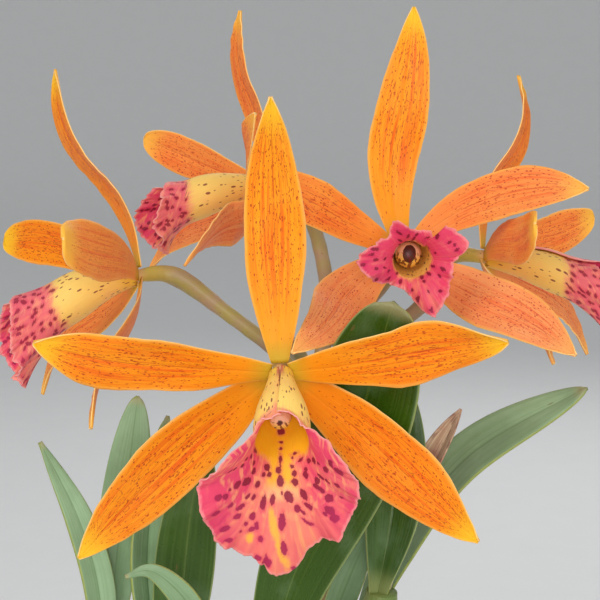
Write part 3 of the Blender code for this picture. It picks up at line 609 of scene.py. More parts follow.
def rolled_surface():
    """A function from shares along and across to points of the sheath that wraps the flower stem's foot."""
    places, headings = smooth_route(PEDUNCLE_ROUTE)
    run = route_length(PEDUNCLE_ROUTE)

    def surface(along, across):
        share = (2 * SEAT_GAP + along * FLOWER_SHEATH["height"]) / run
        ahead = unit(at(headings, share))
        face = as_row((0, 1, 0))
        face = unit(face - ahead * column(ahead @ face))
        turn = across * np.radians(150 - 90 * along**3)
        spoke = face * column(np.cos(turn)) + np.cross(ahead, face) * column(np.sin(turn))
        return seated(at(places, share), ahead, along) + spoke * column(FLOWER_SHEATH["radius"] - 0.1 * along)

    return surface


def bloom_matrix(bloom):
    """Places a bloom: at its hub, turned to face yaw to the side, pitch up and roll about its axis."""
    yaw, pitch, roll = (math.radians(angle) for angle in bloom["facing"])
    turned = (Matrix.Rotation(yaw, 4, "Z") @ Matrix.Rotation(-pitch, 4, "X")
              @ Matrix.Rotation(math.pi / 2, 4, "X") @ Matrix.Rotation(roll, 4, "Z"))
    return Matrix.Translation(bloom["hub"]) @ turned


def in_bloom(bloom, surface):
    """A surface of a bloom's own frame, as one in the part's."""
    matrix = bloom_matrix(bloom)
    turn = np.array(matrix.to_3x3())

    def placed(along, across):
        return surface(along, across) @ turn.T + np.array(matrix.translation)

    return placed


def seed_of(name):
    """A number of its own for each piece, the same in each run."""
    return sum(ord(letter) * (index + 1) for index, letter in enumerate(name)) % 97 + 0.5


def grid_shape(rows, columns):
    """A flat grid, and its points' shares along and across."""
    bm = bmesh.new()
    bmesh.ops.create_grid(bm, x_segments=rows, y_segments=columns, size=1)
    flat = np.array([vertex.co for vertex in bm.verts])
    return bm, (flat[:, 0] + 1) / 2, flat[:, 1]


def put(bm, rows):
    for vertex, row in zip(bm.verts, rows):
        vertex.co = row


def mesh_piece(name, bm, finishes, facts=None):
    """Makes an object of a bmesh in millimetres, with vector attributes from facts for its materials."""
    bmesh.ops.scale(bm, vec=(MM, MM, MM), verts=bm.verts)
    mesh = bpy.data.meshes.new(name)
    bm.to_mesh(mesh)
    bm.free()
    for key, rows in (facts or {}).items():
        layer = mesh.attributes.new(key, "FLOAT_VECTOR", "POINT")
        layer.data.foreach_set("vector", np.asarray(rows, np.float32).ravel())
    mesh.shade_smooth()
    for finish in finishes:
        mesh.materials.append(finish)
    piece = bpy.data.objects.new(name, mesh)
    bpy.context.scene.collection.objects.link(piece)
    return piece


def stand_in(piece, node, slot):
    """Puts a finished piece in the place of a CAD node."""
    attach(piece, "root")
    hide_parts(node)


def build_piece(node, slot, bm, finish, facts):
    """Makes the finished piece of a solid node."""
    stand_in(mesh_piece(f"fine_{node}", bm, [finish], facts), node, slot)


def build_blade(node, slot, surface, grid, extent, tone, finishes, thickness, edge_share, run_start=0):
    """Makes a sepal, petal, leaf or sheath.

    extent is its length and half its breadth, for its skin's pattern, and tone its share of a second colour.
    """
    bm, along, across = grid_shape(*grid)
    put(bm, surface(along, across))
    bmesh.ops.reverse_faces(bm, faces=bm.faces)
    length, half_width = extent
    facts = {"skin": rows_of(along * length + run_start, across * half_width, seed_of(node))}
    if tone is not None:
        facts["blade"] = rows_of(along, across, tone)
    piece = mesh_piece(f"fine_{node}", bm, finishes, facts)
    thicken(piece, thickness, edge_share, np.abs(across) ** 3)
    stand_in(piece, node, slot)


def thicken(piece, thickness, edge_share, edgeness):
    """Gives a sheet its thickness, which falls to edge_share of it where edgeness is 1.

    Its back and its edge take the second and third of its materials.
    """
    group = piece.vertex_groups.new(name="thickness")
    for index, weight in enumerate(1 - edgeness):
        group.add([index], float(weight), "REPLACE")
    solid = piece.modifiers.new("thickness", "SOLIDIFY")
    solid.thickness = thickness
    solid.offset = 0
    solid.vertex_group = group.name
    solid.thickness_vertex_group = edge_share
    solid.material_offset = 1
    solid.material_offset_rim = 2


def stem_shape(route, radius_at, rings, sides, dome, relief=None):
    """A round stem along a route, closed at both ends, drawn out of a sphere; relief adds to its radius."""
    places, headings = smooth_route(route)
    across = as_row((0, 1, 0)) if abs(headings[0][1]) < 0.9 else as_row((1, 0, 0))
    spokes = []
    for heading in headings:
        across = unit(across - heading * (across @ heading))
        spokes.append(across)
    bm = bmesh.new()
    bmesh.ops.create_uvsphere(bm, u_segments=sides, v_segments=rings + 1, radius=1)
    ball = np.array([vertex.co for vertex in bm.verts])
    ring = np.round(np.arccos(np.clip(ball[:, 2], -1, 1)) / np.pi * (rings + 1))
    share = np.clip((ring - 1) / (rings - 1), 0, 1)
    turn = np.arctan2(ball[:, 1], ball[:, 0])
    ahead = unit(at(headings, share))
    first = unit(at(np.array(spokes), share))
    second = np.cross(first, ahead)
    radius = radius_at(share)
    if relief:
        radius = radius + relief(share, turn)
    middle = at(places, share)
    rows = middle + (first * column(np.cos(turn)) + second * column(np.sin(turn))) * column(radius)
    end = np.where(ring == 0, -1, 1) * dome
    capped = (ring == 0) | (ring == rings + 1)
    rows = np.where(column(capped), middle + ahead * column(end * radius_at(share)), rows)
    put(bm, rows)
    bmesh.ops.recalc_face_normals(bm, faces=bm.faces)
    return bm, share, turn


def pot_inner_radius(height):
    """The pot's inner wall, which leans out from the floor to the rim."""
    rise = height / POT_HEIGHT
    return POT_FOOT_RADIUS + (POT_LIP_RADIUS - POT_BAND_PROUD - POT_FOOT_RADIUS) * rise - POT_WALL


def turned(profile, sides):
    """A shape turned about the Z axis from (radius, height) pairs."""
    bm = bmesh.new()
    points = [bm.verts.new((radius, 0, height)) for radius, height in profile]
    edges = [bm.edges.new(pair) for pair in zip(points, points[1:])]
    bmesh.ops.spin(bm, geom=points + edges, cent=(0, 0, 0), axis=(0, 0, 1), dvec=(0, 0, 0),
                   angle=2 * math.pi, steps=sides, use_merge=True)
    bmesh.ops.remove_doubles(bm, verts=bm.verts, dist=0.001)
    bmesh.ops.recalc_face_normals(bm, faces=bm.faces)
    return bm


class Wire:
    """A value inside a material, which is added, multiplied and faded like a number."""

    def __init__(self, shading, socket):
        self.shading = shading
        self.socket = socket

    def __add__(self, other):
        return self.shading.math("ADD", self, other)

    def __sub__(self, other):
        return self.shading.math("SUBTRACT", self, other)

    def __rsub__(self, other):
        return self.shading.math("SUBTRACT", other, self)

    def __mul__(self, other):
        return self.shading.math("MULTIPLY", self, other)

    def __abs__(self):
        return self.shading.math("ABSOLUTE", self)

    def most(self, other):
        """The larger of this and another."""
        return self.shading.math("MAXIMUM", self, other)

    def below(self, limit):
        """1 where this is below the limit, and else 0."""
        return self.shading.math("LESS_THAN", self, limit)

    def clamped(self):
        """This, kept between 0 and 1."""
        return self.shading.math("ADD", self, clamp=True)

    def fade(self, low, high, start=0, end=1):
        """A smooth change from start to end as this goes from low to high."""
        return self.shading.wire("ShaderNodeMapRange", {"Value": self, "From Min": low, "From Max": high,
                                                        "To Min": start, "To Max": end},
                                 interpolation_type="SMOOTHSTEP")


class Shading:
    """One material's nodes, added and joined by short calls whose inputs are numbers, colours or wires."""

    def __init__(self, name):
        self.material = bpy.data.materials.new(name)
        self.material.use_nodes = True
        self.nodes = self.material.node_tree.nodes
        self.links = self.material.node_tree.links
        self.shader = self.nodes["Principled BSDF"]

    def feed(self, socket, value):
        if isinstance(value, Wire):
            self.links.new(value.socket, socket)
        elif socket.type == "RGBA":
            socket.default_value = (*value[:3], 1)
        else:
            socket.default_value = value

    def wires(self, kind, inputs, **settings):
        """Adds a node with its settings and inputs, and gives its outputs."""
        made = self.nodes.new(kind)
        for key, value in settings.items():
            setattr(made, key, value)
        for key, value in inputs.items():
            self.feed(made.inputs[key], value)
        return {key: Wire(self, output)
                for index, output in enumerate(made.outputs) for key in (index, output.name)}

    def wire(self, kind, inputs, output=0, **settings):
        """Adds a node and gives one of its outputs."""
        return self.wires(kind, inputs, **settings)[output]

    def fact(self, name):
        """The x, y and z of a vector attribute."""
        vector = self.wire("ShaderNodeAttribute", {}, "Vector", attribute_name=name)
        split = self.wires("ShaderNodeSeparateXYZ", {0: vector})
        return split[0], split[1], split[2]

    def coordinates(self):
        return self.wire("ShaderNodeTexCoord", {}, "Object")

    def place(self):
        """Object coordinates in millimetres."""
        return self.wire("ShaderNodeVectorMath", {0: self.coordinates(), 1: (1000, 1000, 1000)},
                         operation="MULTIPLY")

    def moved(self, vector, amount):
        """A place moved by the same amount along each axis, for a pattern of its own."""
        return self.wire("ShaderNodeVectorMath", {0: vector, 1: (amount,) * 3}, operation="ADD")

    def vector(self, x, y, z):
        return self.wire("ShaderNodeCombineXYZ", {0: x, 1: y, 2: z})

    def math(self, operation, a, b=0, clamp=False):
        return self.wire("ShaderNodeMath", {0: a, 1: b, 2: 0}, operation=operation, use_clamp=clamp)

    def mix(self, share, a, b):
        return self.wire("ShaderNodeMix", {"Factor": share, 6: a, 7: b}, 2, data_type="RGBA")

    def coats(self, colour, *coats):
        """A colour with coats laid over it in turn, each given as its share and its own colour."""
        for share, coat in coats:
            colour = self.mix(share, colour, coat)
        return colour

    def noise(self, vector, scale, detail=2, roughness=0.5, distortion=0):
        return self.wire("ShaderNodeTexNoise", {"Vector": vector, "Scale": scale, "Detail": detail,
                                                "Roughness": roughness, "Distortion": distortion})

    def streaks(self, skin, along, across, detail=2, roughness=0.5):
        """Noise drawn out along a blade, by how fast it changes along and across it."""
        run, spread, seed = skin
        return self.noise(self.vector(run * along, spread * across, seed), 1, detail, roughness)

    def cells(self, vector, scale, randomness=1):
        """Voronoi cells: the distance to the nearest seed, and that cell's random red and green."""
        made = self.wires("ShaderNodeTexVoronoi",
                          {"Vector": vector, "Scale": scale, "Randomness": randomness})
        tints = self.wires("ShaderNodeSeparateColor", {0: made["Color"]})
        return made["Distance"], tints[0], tints[1]

    def bump(self, height, distance, strength=1):
        """Raises the surface by height, in millimetres of the given distance."""
        made = self.wire("ShaderNodeBump",
                         {"Height": height, "Distance": distance * MM, "Strength": strength})
        self.feed(self.shader.inputs["Normal"], made)

    def finish(self, colour, roughness, **sockets):
        self.feed(self.shader.inputs["Base Color"], colour)
        self.feed(self.shader.inputs["Roughness"], roughness)
        for key, value in sockets.items():
            self.feed(self.shader.inputs[key.replace("_", " ")], value)
        return self.material


def dashes(g, skin, length, width, share, fullness):
    """Short dark dashes in rows along the veins: 1 inside a dash. share is how many cells hold one."""
    run, spread, seed = skin
    wobble = g.streaks(skin, 0.12, 0.25) * 1.4
    where = g.vector(run * (1 / length), (spread + wobble) * (1 / width), seed)
    distance, red, green = g.cells(where, 1, 0.9)
    return red.below(share) * (green * fullness + 0.12 - distance).fade(0, 0.08)


def broken_veins(g, skin, gap, width, fullness):
    """Thin lines that follow the veins a gap apart, broken into dashes of uneven length: 1 on a line."""
    run, spread, seed = skin
    lane = (spread + g.streaks(skin, 0.07, 0.2) * 1.6) * (1 / gap)
    off = abs(g.math("FRACT", lane) - 0.5)
    broken = g.noise(g.vector(run * 0.45, g.math("FLOOR", lane) * 7.3, seed), 1)
    return off.fade(width / gap, 0.3 * width / gap) * broken.fade(1.0 - fullness, 1.07 - fullness)


def tepal_finish(settings, back):
    """Waxy orange skin with freckles and broken dark veins; the back is paler and plainer."""
    g = Shading("tepal_back" if back else "tepal_face")
    along, across, tone = g.fact("blade")
    skin = run, spread, seed = g.fact("skin")
    edge = abs(across)
    sheet = g.vector(*skin)
    cloud = g.noise(sheet, 0.09, 3)
    grain = g.streaks(skin, 0.04, 1.3, 3, 0.6)
    gold = tone.most(0)
    blush = (tone * -1).most(0.35 if back else 0)
    spotted = along.fade(0.1, 0.42, 0.1, 1) * along.fade(0.98, 0.86)
    flush = grain.fade(0.40, 0.66) * spotted
    colour = g.coats(
        g.mix(blush, g.mix(gold, settings.orange, settings.gold), settings.peach),
        (flush * edge.fade(1, 0.4, 0.4, 0.85), g.mix(blush, (0.82, 0.11, 0.001), (0.90, 0.19, 0.06))),
        (cloud.fade(0.48, 0.75, 0, 0.4), g.mix(blush, (0.96, 0.38, 0.02), (0.95, 0.42, 0.18))),
        (along.fade(0.14, 0), (0.62, 0.38, 0.02)),
        (along.fade(0.8, 1, 0, 0.85), g.mix(blush, (0.96, 0.55, 0.015), (0.96, 0.40, 0.12))),
        (edge.fade(0.86, 1, 0, 0.6), (1.0, 0.50, 0.10)))
    inside = spotted * edge.fade(0.98, 0.86)
    fine = dashes(g, skin, 1.15, 0.62, inside * 0.9, 0.26)
    bold = dashes(g, (run, spread, seed + 4.7), 1.8, 1.0, inside * 0.18, 0.16)
    grains = g.streaks((run, spread, seed + 2.3), 0.42, 2.3)
    dashed = grains.fade(0.60, 0.67, 0, 0.85) * (inside * edge.fade(0.95, 0.6, 0.2, 1))
    dashed = dashed * blush.fade(0, 1, 1, 0.4)
    patchy = g.noise(g.moved(sheet, 31), 0.07).fade(0.36, 0.56)
    lines = broken_veins(g, skin, 1.1, 0.16, 0.5) * (patchy * edge.fade(0.9, 0.5))
    broken = g.noise(g.vector(run * 0.4, 9, seed), 1).fade(0.40, 0.50)
    midrib = abs(spread).fade(0.22, 0.10) * broken * (along.fade(0.1, 0.3) * along.fade(0.97, 0.85))
    veins = (lines * spotted).most(midrib) * 0.6
    ink = fine.most(bold).most(veins.most(dashed)) * (0.5 if back else 0.88)
    colour = g.mix(ink, colour, g.mix(blush, (0.45, 0.035, 0.003), (0.60, 0.05, 0.035)))
    pores = g.noise(sheet, 3.2)
    g.bump(g.streaks(skin, 0.05, 1.9) * 0.8 + pores * 0.2, 0.12 if back else 0.10, 0.8)
    return g.finish(colour, pores.fade(0.3, 0.7, 0.42, 0.55), Specular_IOR_Level=0.25, Subsurface_Weight=0.08,
                    Subsurface_Radius=(1.0, 0.35, 0.1), Subsurface_Scale=1.2 * MM)


def lip_finish(settings, back):
    """A lip's skin: a yellow throat, salmon lobes that turn rose, maroon blotches and a pale fringe."""
    g = Shading("lip_back" if back else "lip_face")
    beyond, turn, to_rim = g.fact("blade")
    skin = run, spread, seed = g.fact("skin")
    blotch, streak, rosy = g.fact("marks")
    sheet = g.vector(*skin)
    rolled = run, turn, seed
    aside = abs(turn)
    cloud = g.noise(sheet, 0.12, 3)
    fine = g.noise(sheet, 0.9, 3)
    rays = g.streaks(rolled, 0.05, 4, 3, 0.55)
    threads = g.streaks(rolled, 0.08, 15)
    ragged = (g.noise(sheet, 1.1, 3) - 0.5) * 0.95
    plain = 1 - rosy
    pink = aside.fade(0.35, 1.1, 0, 0.9) + rosy * 0.7
    pink = (pink + rays.fade(0.3, 0.7, -0.45, 0.35) + beyond.fade(14, 26, 0, 0.5)).clamped()
    patches = g.noise(g.moved(sheet, 17), 0.33).fade(0.5, 0.64) * beyond.fade(19, 12)
    cream = abs(beyond - 8.5).fade(3.5, 1) * aside.fade(0.6, 0.15)
    yellow = aside.fade(0.6, 0.3) * beyond.fade(9, 5) * plain
    lobes = g.coats(
        g.mix(pink, settings.salmon, settings.rose),
        (threads.fade(0.5, 0.75, 0, 0.5) * (1.2 - pink), (0.95, 0.42, 0.15)),
        (cloud.fade(0.5, 0.7, 0, 0.7) * pink, (0.66, 0.03, 0.12)),
        (patches * rosy.fade(0, 1, 0.55, 0.1), (0.95, 0.42, 0.17)),
        (cream * (plain * 0.8), (0.94, 0.50, 0.20)),
        (yellow * 0.95, settings.throat),
        # Bright orange-yellow over the streaks: the front lip's yellow stripe, and one painted highlight.
        ((streak + ragged).fade(-0.9, 0.3, 0, 0.9), (0.98, 0.46, 0.05)))
    if back:
        tube = g.coats((0.93, 0.62, 0.15), (cloud.fade(0.5, 0.75, 0, 0.35), (0.92, 0.42, 0.20)),
                       (run.fade(7, 0, 0, 0.8), (0.80, 0.50, 0.04)))
        start = (beyond + (cloud - 0.5) * 10 + (threads - 0.5) * 5).fade(-2.5, 3.5)
        lobes = g.mix(0.35, lobes, (0.95, 0.36, 0.28))
    else:
        tube = g.coats(settings.throat, (cloud.fade(0.4, 0.7), (0.93, 0.40, 0.012)),
                       (rosy.fade(0.4, 1, 0, 0.7), (0.96, 0.60, 0.16)))
        start = (beyond + (fine - 0.5) * 2.5).fade(-0.5, 2)
    frill = (to_rim + (fine - 0.5) * 1.4).fade(1.1, 0.2)
    inside = blotch + ragged
    ink = g.mix(beyond.fade(7, 20, 0, 0.8), settings.maroon, (0.42, 0.015, 0.085))
    colour = g.coats(
        g.mix(start, tube, lobes),
        (frill * beyond.fade(0.5, 4, 0, 0.6), (0.93, 0.36, 0.32)),
        (inside.fade(-0.7, 0, 0, 0.45), (0.66, 0.03, 0.11)),
        (inside.fade(-0.06, 0.10, 0, 0.8 if back else 0.94), ink))
    fresh = run, spread, seed + 2.2
    if back:
        marks = dashes(g, fresh, 2.3, 0.8, 0.65, 0.3)
        seam = aside.fade(2.75, 3) * (run + fine * 6).fade(10, 5)
        colour = g.coats(colour, (marks * beyond.fade(3, 0, 0, 0.85), (0.18, 0.012, 0.03)),
                         (seam * 0.75, (0.45, 0.03, 0.10)))
    else:
        marks = dashes(g, fresh, 2.4, 1.1, rosy.fade(0.3, 1, 0, 0.7), 0.3)
        colour = g.mix(marks * beyond.fade(1, -1, 0, 0.9), colour, settings.maroon)
    g.bump(g.streaks(rolled, 0.1, 16) + fine * 0.5, 0.16, 0.8)
    return g.finish(colour, 0.5, Specular_IOR_Level=0.25, Subsurface_Weight=0.12,
                    Subsurface_Radius=(1.0, 0.3, 0.2), Subsurface_Scale=1.2 * MM)


def edge_finish(name, scale, detail, dark, light, depth=0.05, roughness=0.5, **sockets):
    """The thin pale edge of a blade."""
    g = Shading(name)
    grain = g.noise(g.place(), scale, detail)
    g.bump(grain, depth)
    return g.finish(g.mix(grain, dark, light), roughness, **sockets)


def stalk_finish():
    """Mauve over olive on the stalk, greener at the ovary, and a cream column with a maroon cap."""
    g = Shading("stalk_and_column")
    beyond, crown, tip = g.fact("blade")
    up, side, size = g.fact("skin")
    place = g.place()
    cloud = g.noise(place, 0.12, 3)
    fine = g.noise(place, 1.4, 3)
    stalk = g.coats((0.36, 0.24, 0.13), (cloud.fade(0.35, 0.65), (0.34, 0.28, 0.07)),
                    (crown * 0.6, (0.48, 0.32, 0.24)), (beyond.fade(-13, -3), (0.50, 0.36, 0.06)))
    cream = g.mix((up + fine * 0.5).fade(-0.4, 0.8), (0.95, 0.55, 0.10), (0.92, 0.45, 0.28))
    ragged = (g.noise(place, 0.9) - 0.5) * 0.5
    lift = up - 0.12
    oval = side * side * 3 + lift * lift * 1.7
    cap = (oval + ragged - size).fade(0.1, -0.1) * tip.fade(-0.8, -0.3)
    flaps = g.noise(g.vector(tip * 0.3, side * 2.2, up * 1.2), 1.3).fade(0.5, 0.56)
    freckles, red, _ = g.cells(place, 0.8)
    colour = g.coats(
        g.mix(beyond.fade(-3, 3), stalk, cream),
        (cap * 0.97, (0.06, 0.003, 0.004)),
        (flaps * (tip.fade(-4, -2.5) * up.fade(0.3, 0)) * 0.85, (0.16, 0.008, 0.008)),
        (red.below(0.25) * freckles.fade(0.24, 0.14, 0, 0.5), (0.16, 0.05, 0.03)))
    g.bump(fine + cloud, 0.1)
    return g.finish(colour, 0.42, Specular_IOR_Level=0.4)


def leaf_finish(settings, back):
    """A leathery leaf: fine parallel veins, a paler midrib, blotches of waxy bloom, a yellow-green edge."""
    g = Shading("leaf_back" if back else "leaf_face")
    along, across, powder = g.fact("blade")
    skin = run, spread, seed = g.fact("skin")
    sheet = g.vector(*skin)
    veins = g.streaks(skin, 0.012, 1.5, 3)
    cloud = g.noise(sheet, 0.045, 4)
    specks = g.noise(sheet, 1.1)
    midrib = abs(spread).fade(0.6, 0.15) * (0.6 if back else 0.5)
    scar, red, _ = g.cells(g.vector(run * 0.4, spread, seed), 0.28)
    dusty = powder * 0.85 + cloud.fade(0.35, 0.7, -0.15, 0.2)
    colour = g.mix(dusty, settings.leaf_green, settings.leaf_powder)
    if back:
        colour = g.mix(powder.fade(0.2, 1, 0.45, 0.1), colour, (0.12, 0.18, 0.04))
    colour = g.coats(
        colour,
        (veins.fade(0.42, 0.7, 0, 0.35), g.mix(powder, (0.07, 0.13, 0.012), (0.17, 0.28, 0.11))),
        (abs(across).fade(0.95, 1, 0, 0.6), (0.34, 0.42, 0.16)),
        (midrib, g.mix(powder, (0.12, 0.18, 0.03), (0.10, 0.18, 0.06))),
        (along.fade(0.12, 0, 0, 0.6), (0.30, 0.33, 0.10)),
        (along.fade(0.955, 1, 0, 0.7), (0.42, 0.36, 0.17)),
        (red.below(0.12) * scar.fade(0.16, 0.06, 0, 0.6), (0.16, 0.10, 0.03)))
    g.bump(veins * 0.9 + specks * 0.12, 0.22, 0.7)
    return g.finish(colour, powder * 0.12 + specks.fade(0.3, 0.7, 0.26, 0.36), Specular_IOR_Level=0.3)


def cane_finish():
    """A ribbed cane, green to olive, with the papery rings and shreds of its old sheaths."""
    g = Shading("cane_skin")
    share, ring, _ = g.fact("blade")
    place = g.place()
    ribs = g.noise(g.wire("ShaderNodeMapping", {"Vector": place, "Scale": (1, 1, 0.06)}), 0.9, 4)
    cloud = g.noise(place, 0.06, 3)
    skin = g.coats((0.14, 0.21, 0.045), (cloud.fade(0.35, 0.65), (0.25, 0.28, 0.07)),
                   (ribs.fade(0.45, 0.7, 0, 0.4), (0.30, 0.33, 0.12)))
    paper = g.mix(ribs.fade(0.35, 0.65), (0.42, 0.31, 0.18), (0.68, 0.58, 0.42))
    shreds = (ribs + cloud * 0.5).fade(0.72, 0.80)
    dry = (shreds * share.fade(0.75, 0.2)).most(ring)
    g.bump(ribs + dry * 0.5, 0.35)
    return g.finish(g.mix(dry, skin, paper), dry.fade(0, 1, 0.42, 0.8), Specular_IOR_Level=0.4)


def paper_finish():
    """Dry sheath paper: fine lengthwise fibres, with reddish stains and dark brown blots."""
    g = Shading("dry_paper")
    skin = run, spread, seed = g.fact("skin")
    fibres = g.streaks(skin, 0.05, 2.4, 4)
    stain = g.noise(g.vector(*skin), 0.11, 3)
    blot = g.noise(g.vector(run * 0.5, spread, seed), 0.36, 3)
    colour = g.coats((0.52, 0.30, 0.18), (fibres.fade(0.3, 0.7), (0.82, 0.62, 0.42)),
                     (stain.fade(0.42, 0.62, 0, 0.7), (0.42, 0.15, 0.11)),
                     (blot.fade(0.50, 0.64, 0, 0.65), (0.20, 0.07, 0.05)))
    g.bump(fibres, 0.25)
    return g.finish(colour, 0.75, Sheen_Weight=0.15, Specular_IOR_Level=0.25)


def rhizome_finish():
    """The creeping stem, ringed with the ragged bases of old scales."""
    g = Shading("rhizome_skin")
    _, ring, _ = g.fact("blade")
    place = g.place()
    fibres = g.noise(place, 1.1, 4, 0.6, 0.6)
    patch = g.noise(place, 0.12, 3)
    colour = g.coats((0.24, 0.26, 0.10), (patch.fade(0.4, 0.6), (0.46, 0.37, 0.22)),
                     (fibres.fade(0.45, 0.7, 0, 0.7), (0.20, 0.12, 0.07)), (ring * 0.6, (0.58, 0.48, 0.32)))
    g.bump(fibres + ring, 0.4)
    return g.finish(colour, 0.75)


def bark_finish():
    """Pine bark: reddish brown chips, grey-weathered on some faces, with layered grain."""
    g = Shading("bark_chips")
    tone, layer, seed = g.fact("blade")
    place = g.place()
    tilted = g.wire("ShaderNodeMapping",
                    {"Vector": place, "Rotation": (0.4, 0.3, 0.8), "Scale": (0.5, 1.6, 2.6)})
    layers = g.noise(g.vector(layer * 2, g.noise(place, 0.3, 3), seed), 1.2, 3)
    grain = g.noise(tilted, 0.5, 5, 0.65)
    colour = g.coats(
        g.mix(tone, (0.10, 0.042, 0.02), (0.27, 0.125, 0.058)),
        (layers.fade(0.4, 0.65, 0, 0.6), (0.34, 0.17, 0.085)),
        (grain.fade(0.45, 0.65, 0, 0.75), (0.055, 0.026, 0.016)),
        (g.noise(place, 0.14).fade(0.55, 0.7, 0, 0.3), (0.30, 0.26, 0.22)))
    g.bump(grain + layers, 0.7)
    return g.finish(colour, 0.88, Specular_IOR_Level=0.25)


def clay_finish(settings):
    """Fired clay: sandy grain, faint turning lines, pale lime bloom, damp darker foot and rubbed edges."""
    g = Shading("fired_clay")
    height, radius, edge = g.fact("blade")
    place = g.place()
    sand = g.noise(place, 2.6, 4, 0.7)
    cloud = g.noise(place, 0.045, 4, 0.6)
    lime = g.noise(place, 0.09, 5, 0.65)
    lines = g.noise(g.vector(0, radius * 0.6, height * 1.1), 1, 3)
    colour = g.coats(
        settings.clay,
        (cloud.fade(0.35, 0.68), (0.58, 0.26, 0.14)),
        (sand.fade(0.48, 0.72, 0, 0.35), (0.70, 0.42, 0.28)),
        (lime.fade(0.52, 0.68) * height.fade(20, 78, 0.15, 0.65), (0.72, 0.60, 0.50)),
        (height.fade(14, 0, 0, 0.4), (0.25, 0.10, 0.055)),
        (edge * sand.fade(0.35, 0.55, 0, 0.5), (0.76, 0.44, 0.28)))
    pits, red, _ = g.cells(place, 0.55)
    pit = red.below(0.2) * pits.fade(0.2, 0.08)
    g.bump(sand * 0.5 + lines * 0.6 - pit * 0.7, 0.35)
    return g.finish(colour, sand.fade(0.3, 0.7, 0.78, 0.92), Specular_IOR_Level=0.3)


def floor_finish():
    """A plain pale matt floor."""
    g = Shading("pale_floor")
    grain = g.noise(g.coordinates(), 40, 3)
    return g.finish(g.mix(grain, (0.80, 0.80, 0.79), (0.83, 0.83, 0.82)), 0.7, Specular_IOR_Level=0.2)


class ORCHID_OT_tepals(bpy.types.Operator):
    """Builds the sepals and petals of every bloom"""

    bl_idname = "orchid.tepals"
    bl_label = "Sepals and petals"

    def execute(self, context):
        settings = context.scene.orchid_blooms
        edge = edge_finish("tepal_edge", 1.5, 2, (0.95, 0.50, 0.12), (1.0, 0.66, 0.26),
                           Subsurface_Weight=0.08, Subsurface_Radius=(1.0, 0.4, 0.1),
                           Subsurface_Scale=1.0 * MM)
        finishes = [tepal_finish(settings, False), tepal_finish(settings, True), edge]
        for bloom_name, bloom in BLOOMS.items():
            for tepal_name in TEPALS:
                node = f"{bloom_name}_{tepal_name}"
                shape = bloom[tepal_name]
                seed = seed_of(node)
                build_blade(node, "tepals", in_bloom(bloom, tepal_surface(shape, seed)), TEPAL_GRID,
                            (shape["length"], shape["half_width"]), shape["gold"], finishes,
                            settings.tepal_thickness, 0.35, run_start=seed * 7)
        return {"FINISHED"}


class ORCHID_OT_lips(bpy.types.Operator):
    """Builds the ruffled lips"""

    bl_idname = "orchid.lips"
    bl_label = "Lips"

    def execute(self, context):
        settings = context.scene.orchid_blooms
        finishes = [lip_finish(settings, False), lip_finish(settings, True),
                    edge_finish("lip_edge", 0.8, 2, (0.86, 0.25, 0.25), (0.95, 0.50, 0.45))]
        for bloom_name, bloom in BLOOMS.items():
            self.build(f"{bloom_name}_lip", bloom, finishes, settings)
        return {"FINISHED"}

    def build(self, node, bloom, finishes, settings):
        shape = bloom["lip"]
        seed = seed_of(node)
        grid, spots, streaks = LIP_GRID, scattered_marks(shape, seed), ()
        if node.startswith("front"):
            # The front lip's streaks are its yellow stripe and one painted highlight.
            grid, spots, streaks = FRONT_LIP_GRID, FRONT_MARKS, FRONT_STREAKS
        bm, along, across = grid_shape(*grid)
        put(bm, in_bloom(bloom, lip_surface(shape, seed))(along, across))
        turn = np.radians(lip_angle(shape, along, across))
        past_mouth = (along - MOUTH) / (1 - MOUTH)
        lobe = np.maximum(past_mouth, 0)
        reach = np.interp(np.degrees(turn), *zip(*shape["rim"]))
        run = np.where(past_mouth < 0, along / MOUTH * shape["tube"], shape["tube"] + past_mouth * reach)
        facts = {
            "blade": rows_of(run - shape["tube"], turn, (1 - lobe) * reach),
            "skin": rows_of(run, turn * (shape["mouth"] + lobe * reach * 0.8), seed),
            "marks": rows_of(mark_depths(shape, turn, run, spots), mark_depths(shape, turn, run, streaks),
                             shape["rosy"]),
        }
        piece = mesh_piece(f"fine_{node}", bm, finishes, facts)
        thicken(piece, settings.lip_thickness, 0.4, np.clip(lobe, 0, 1) ** 3)
        stand_in(piece, node, "lips")


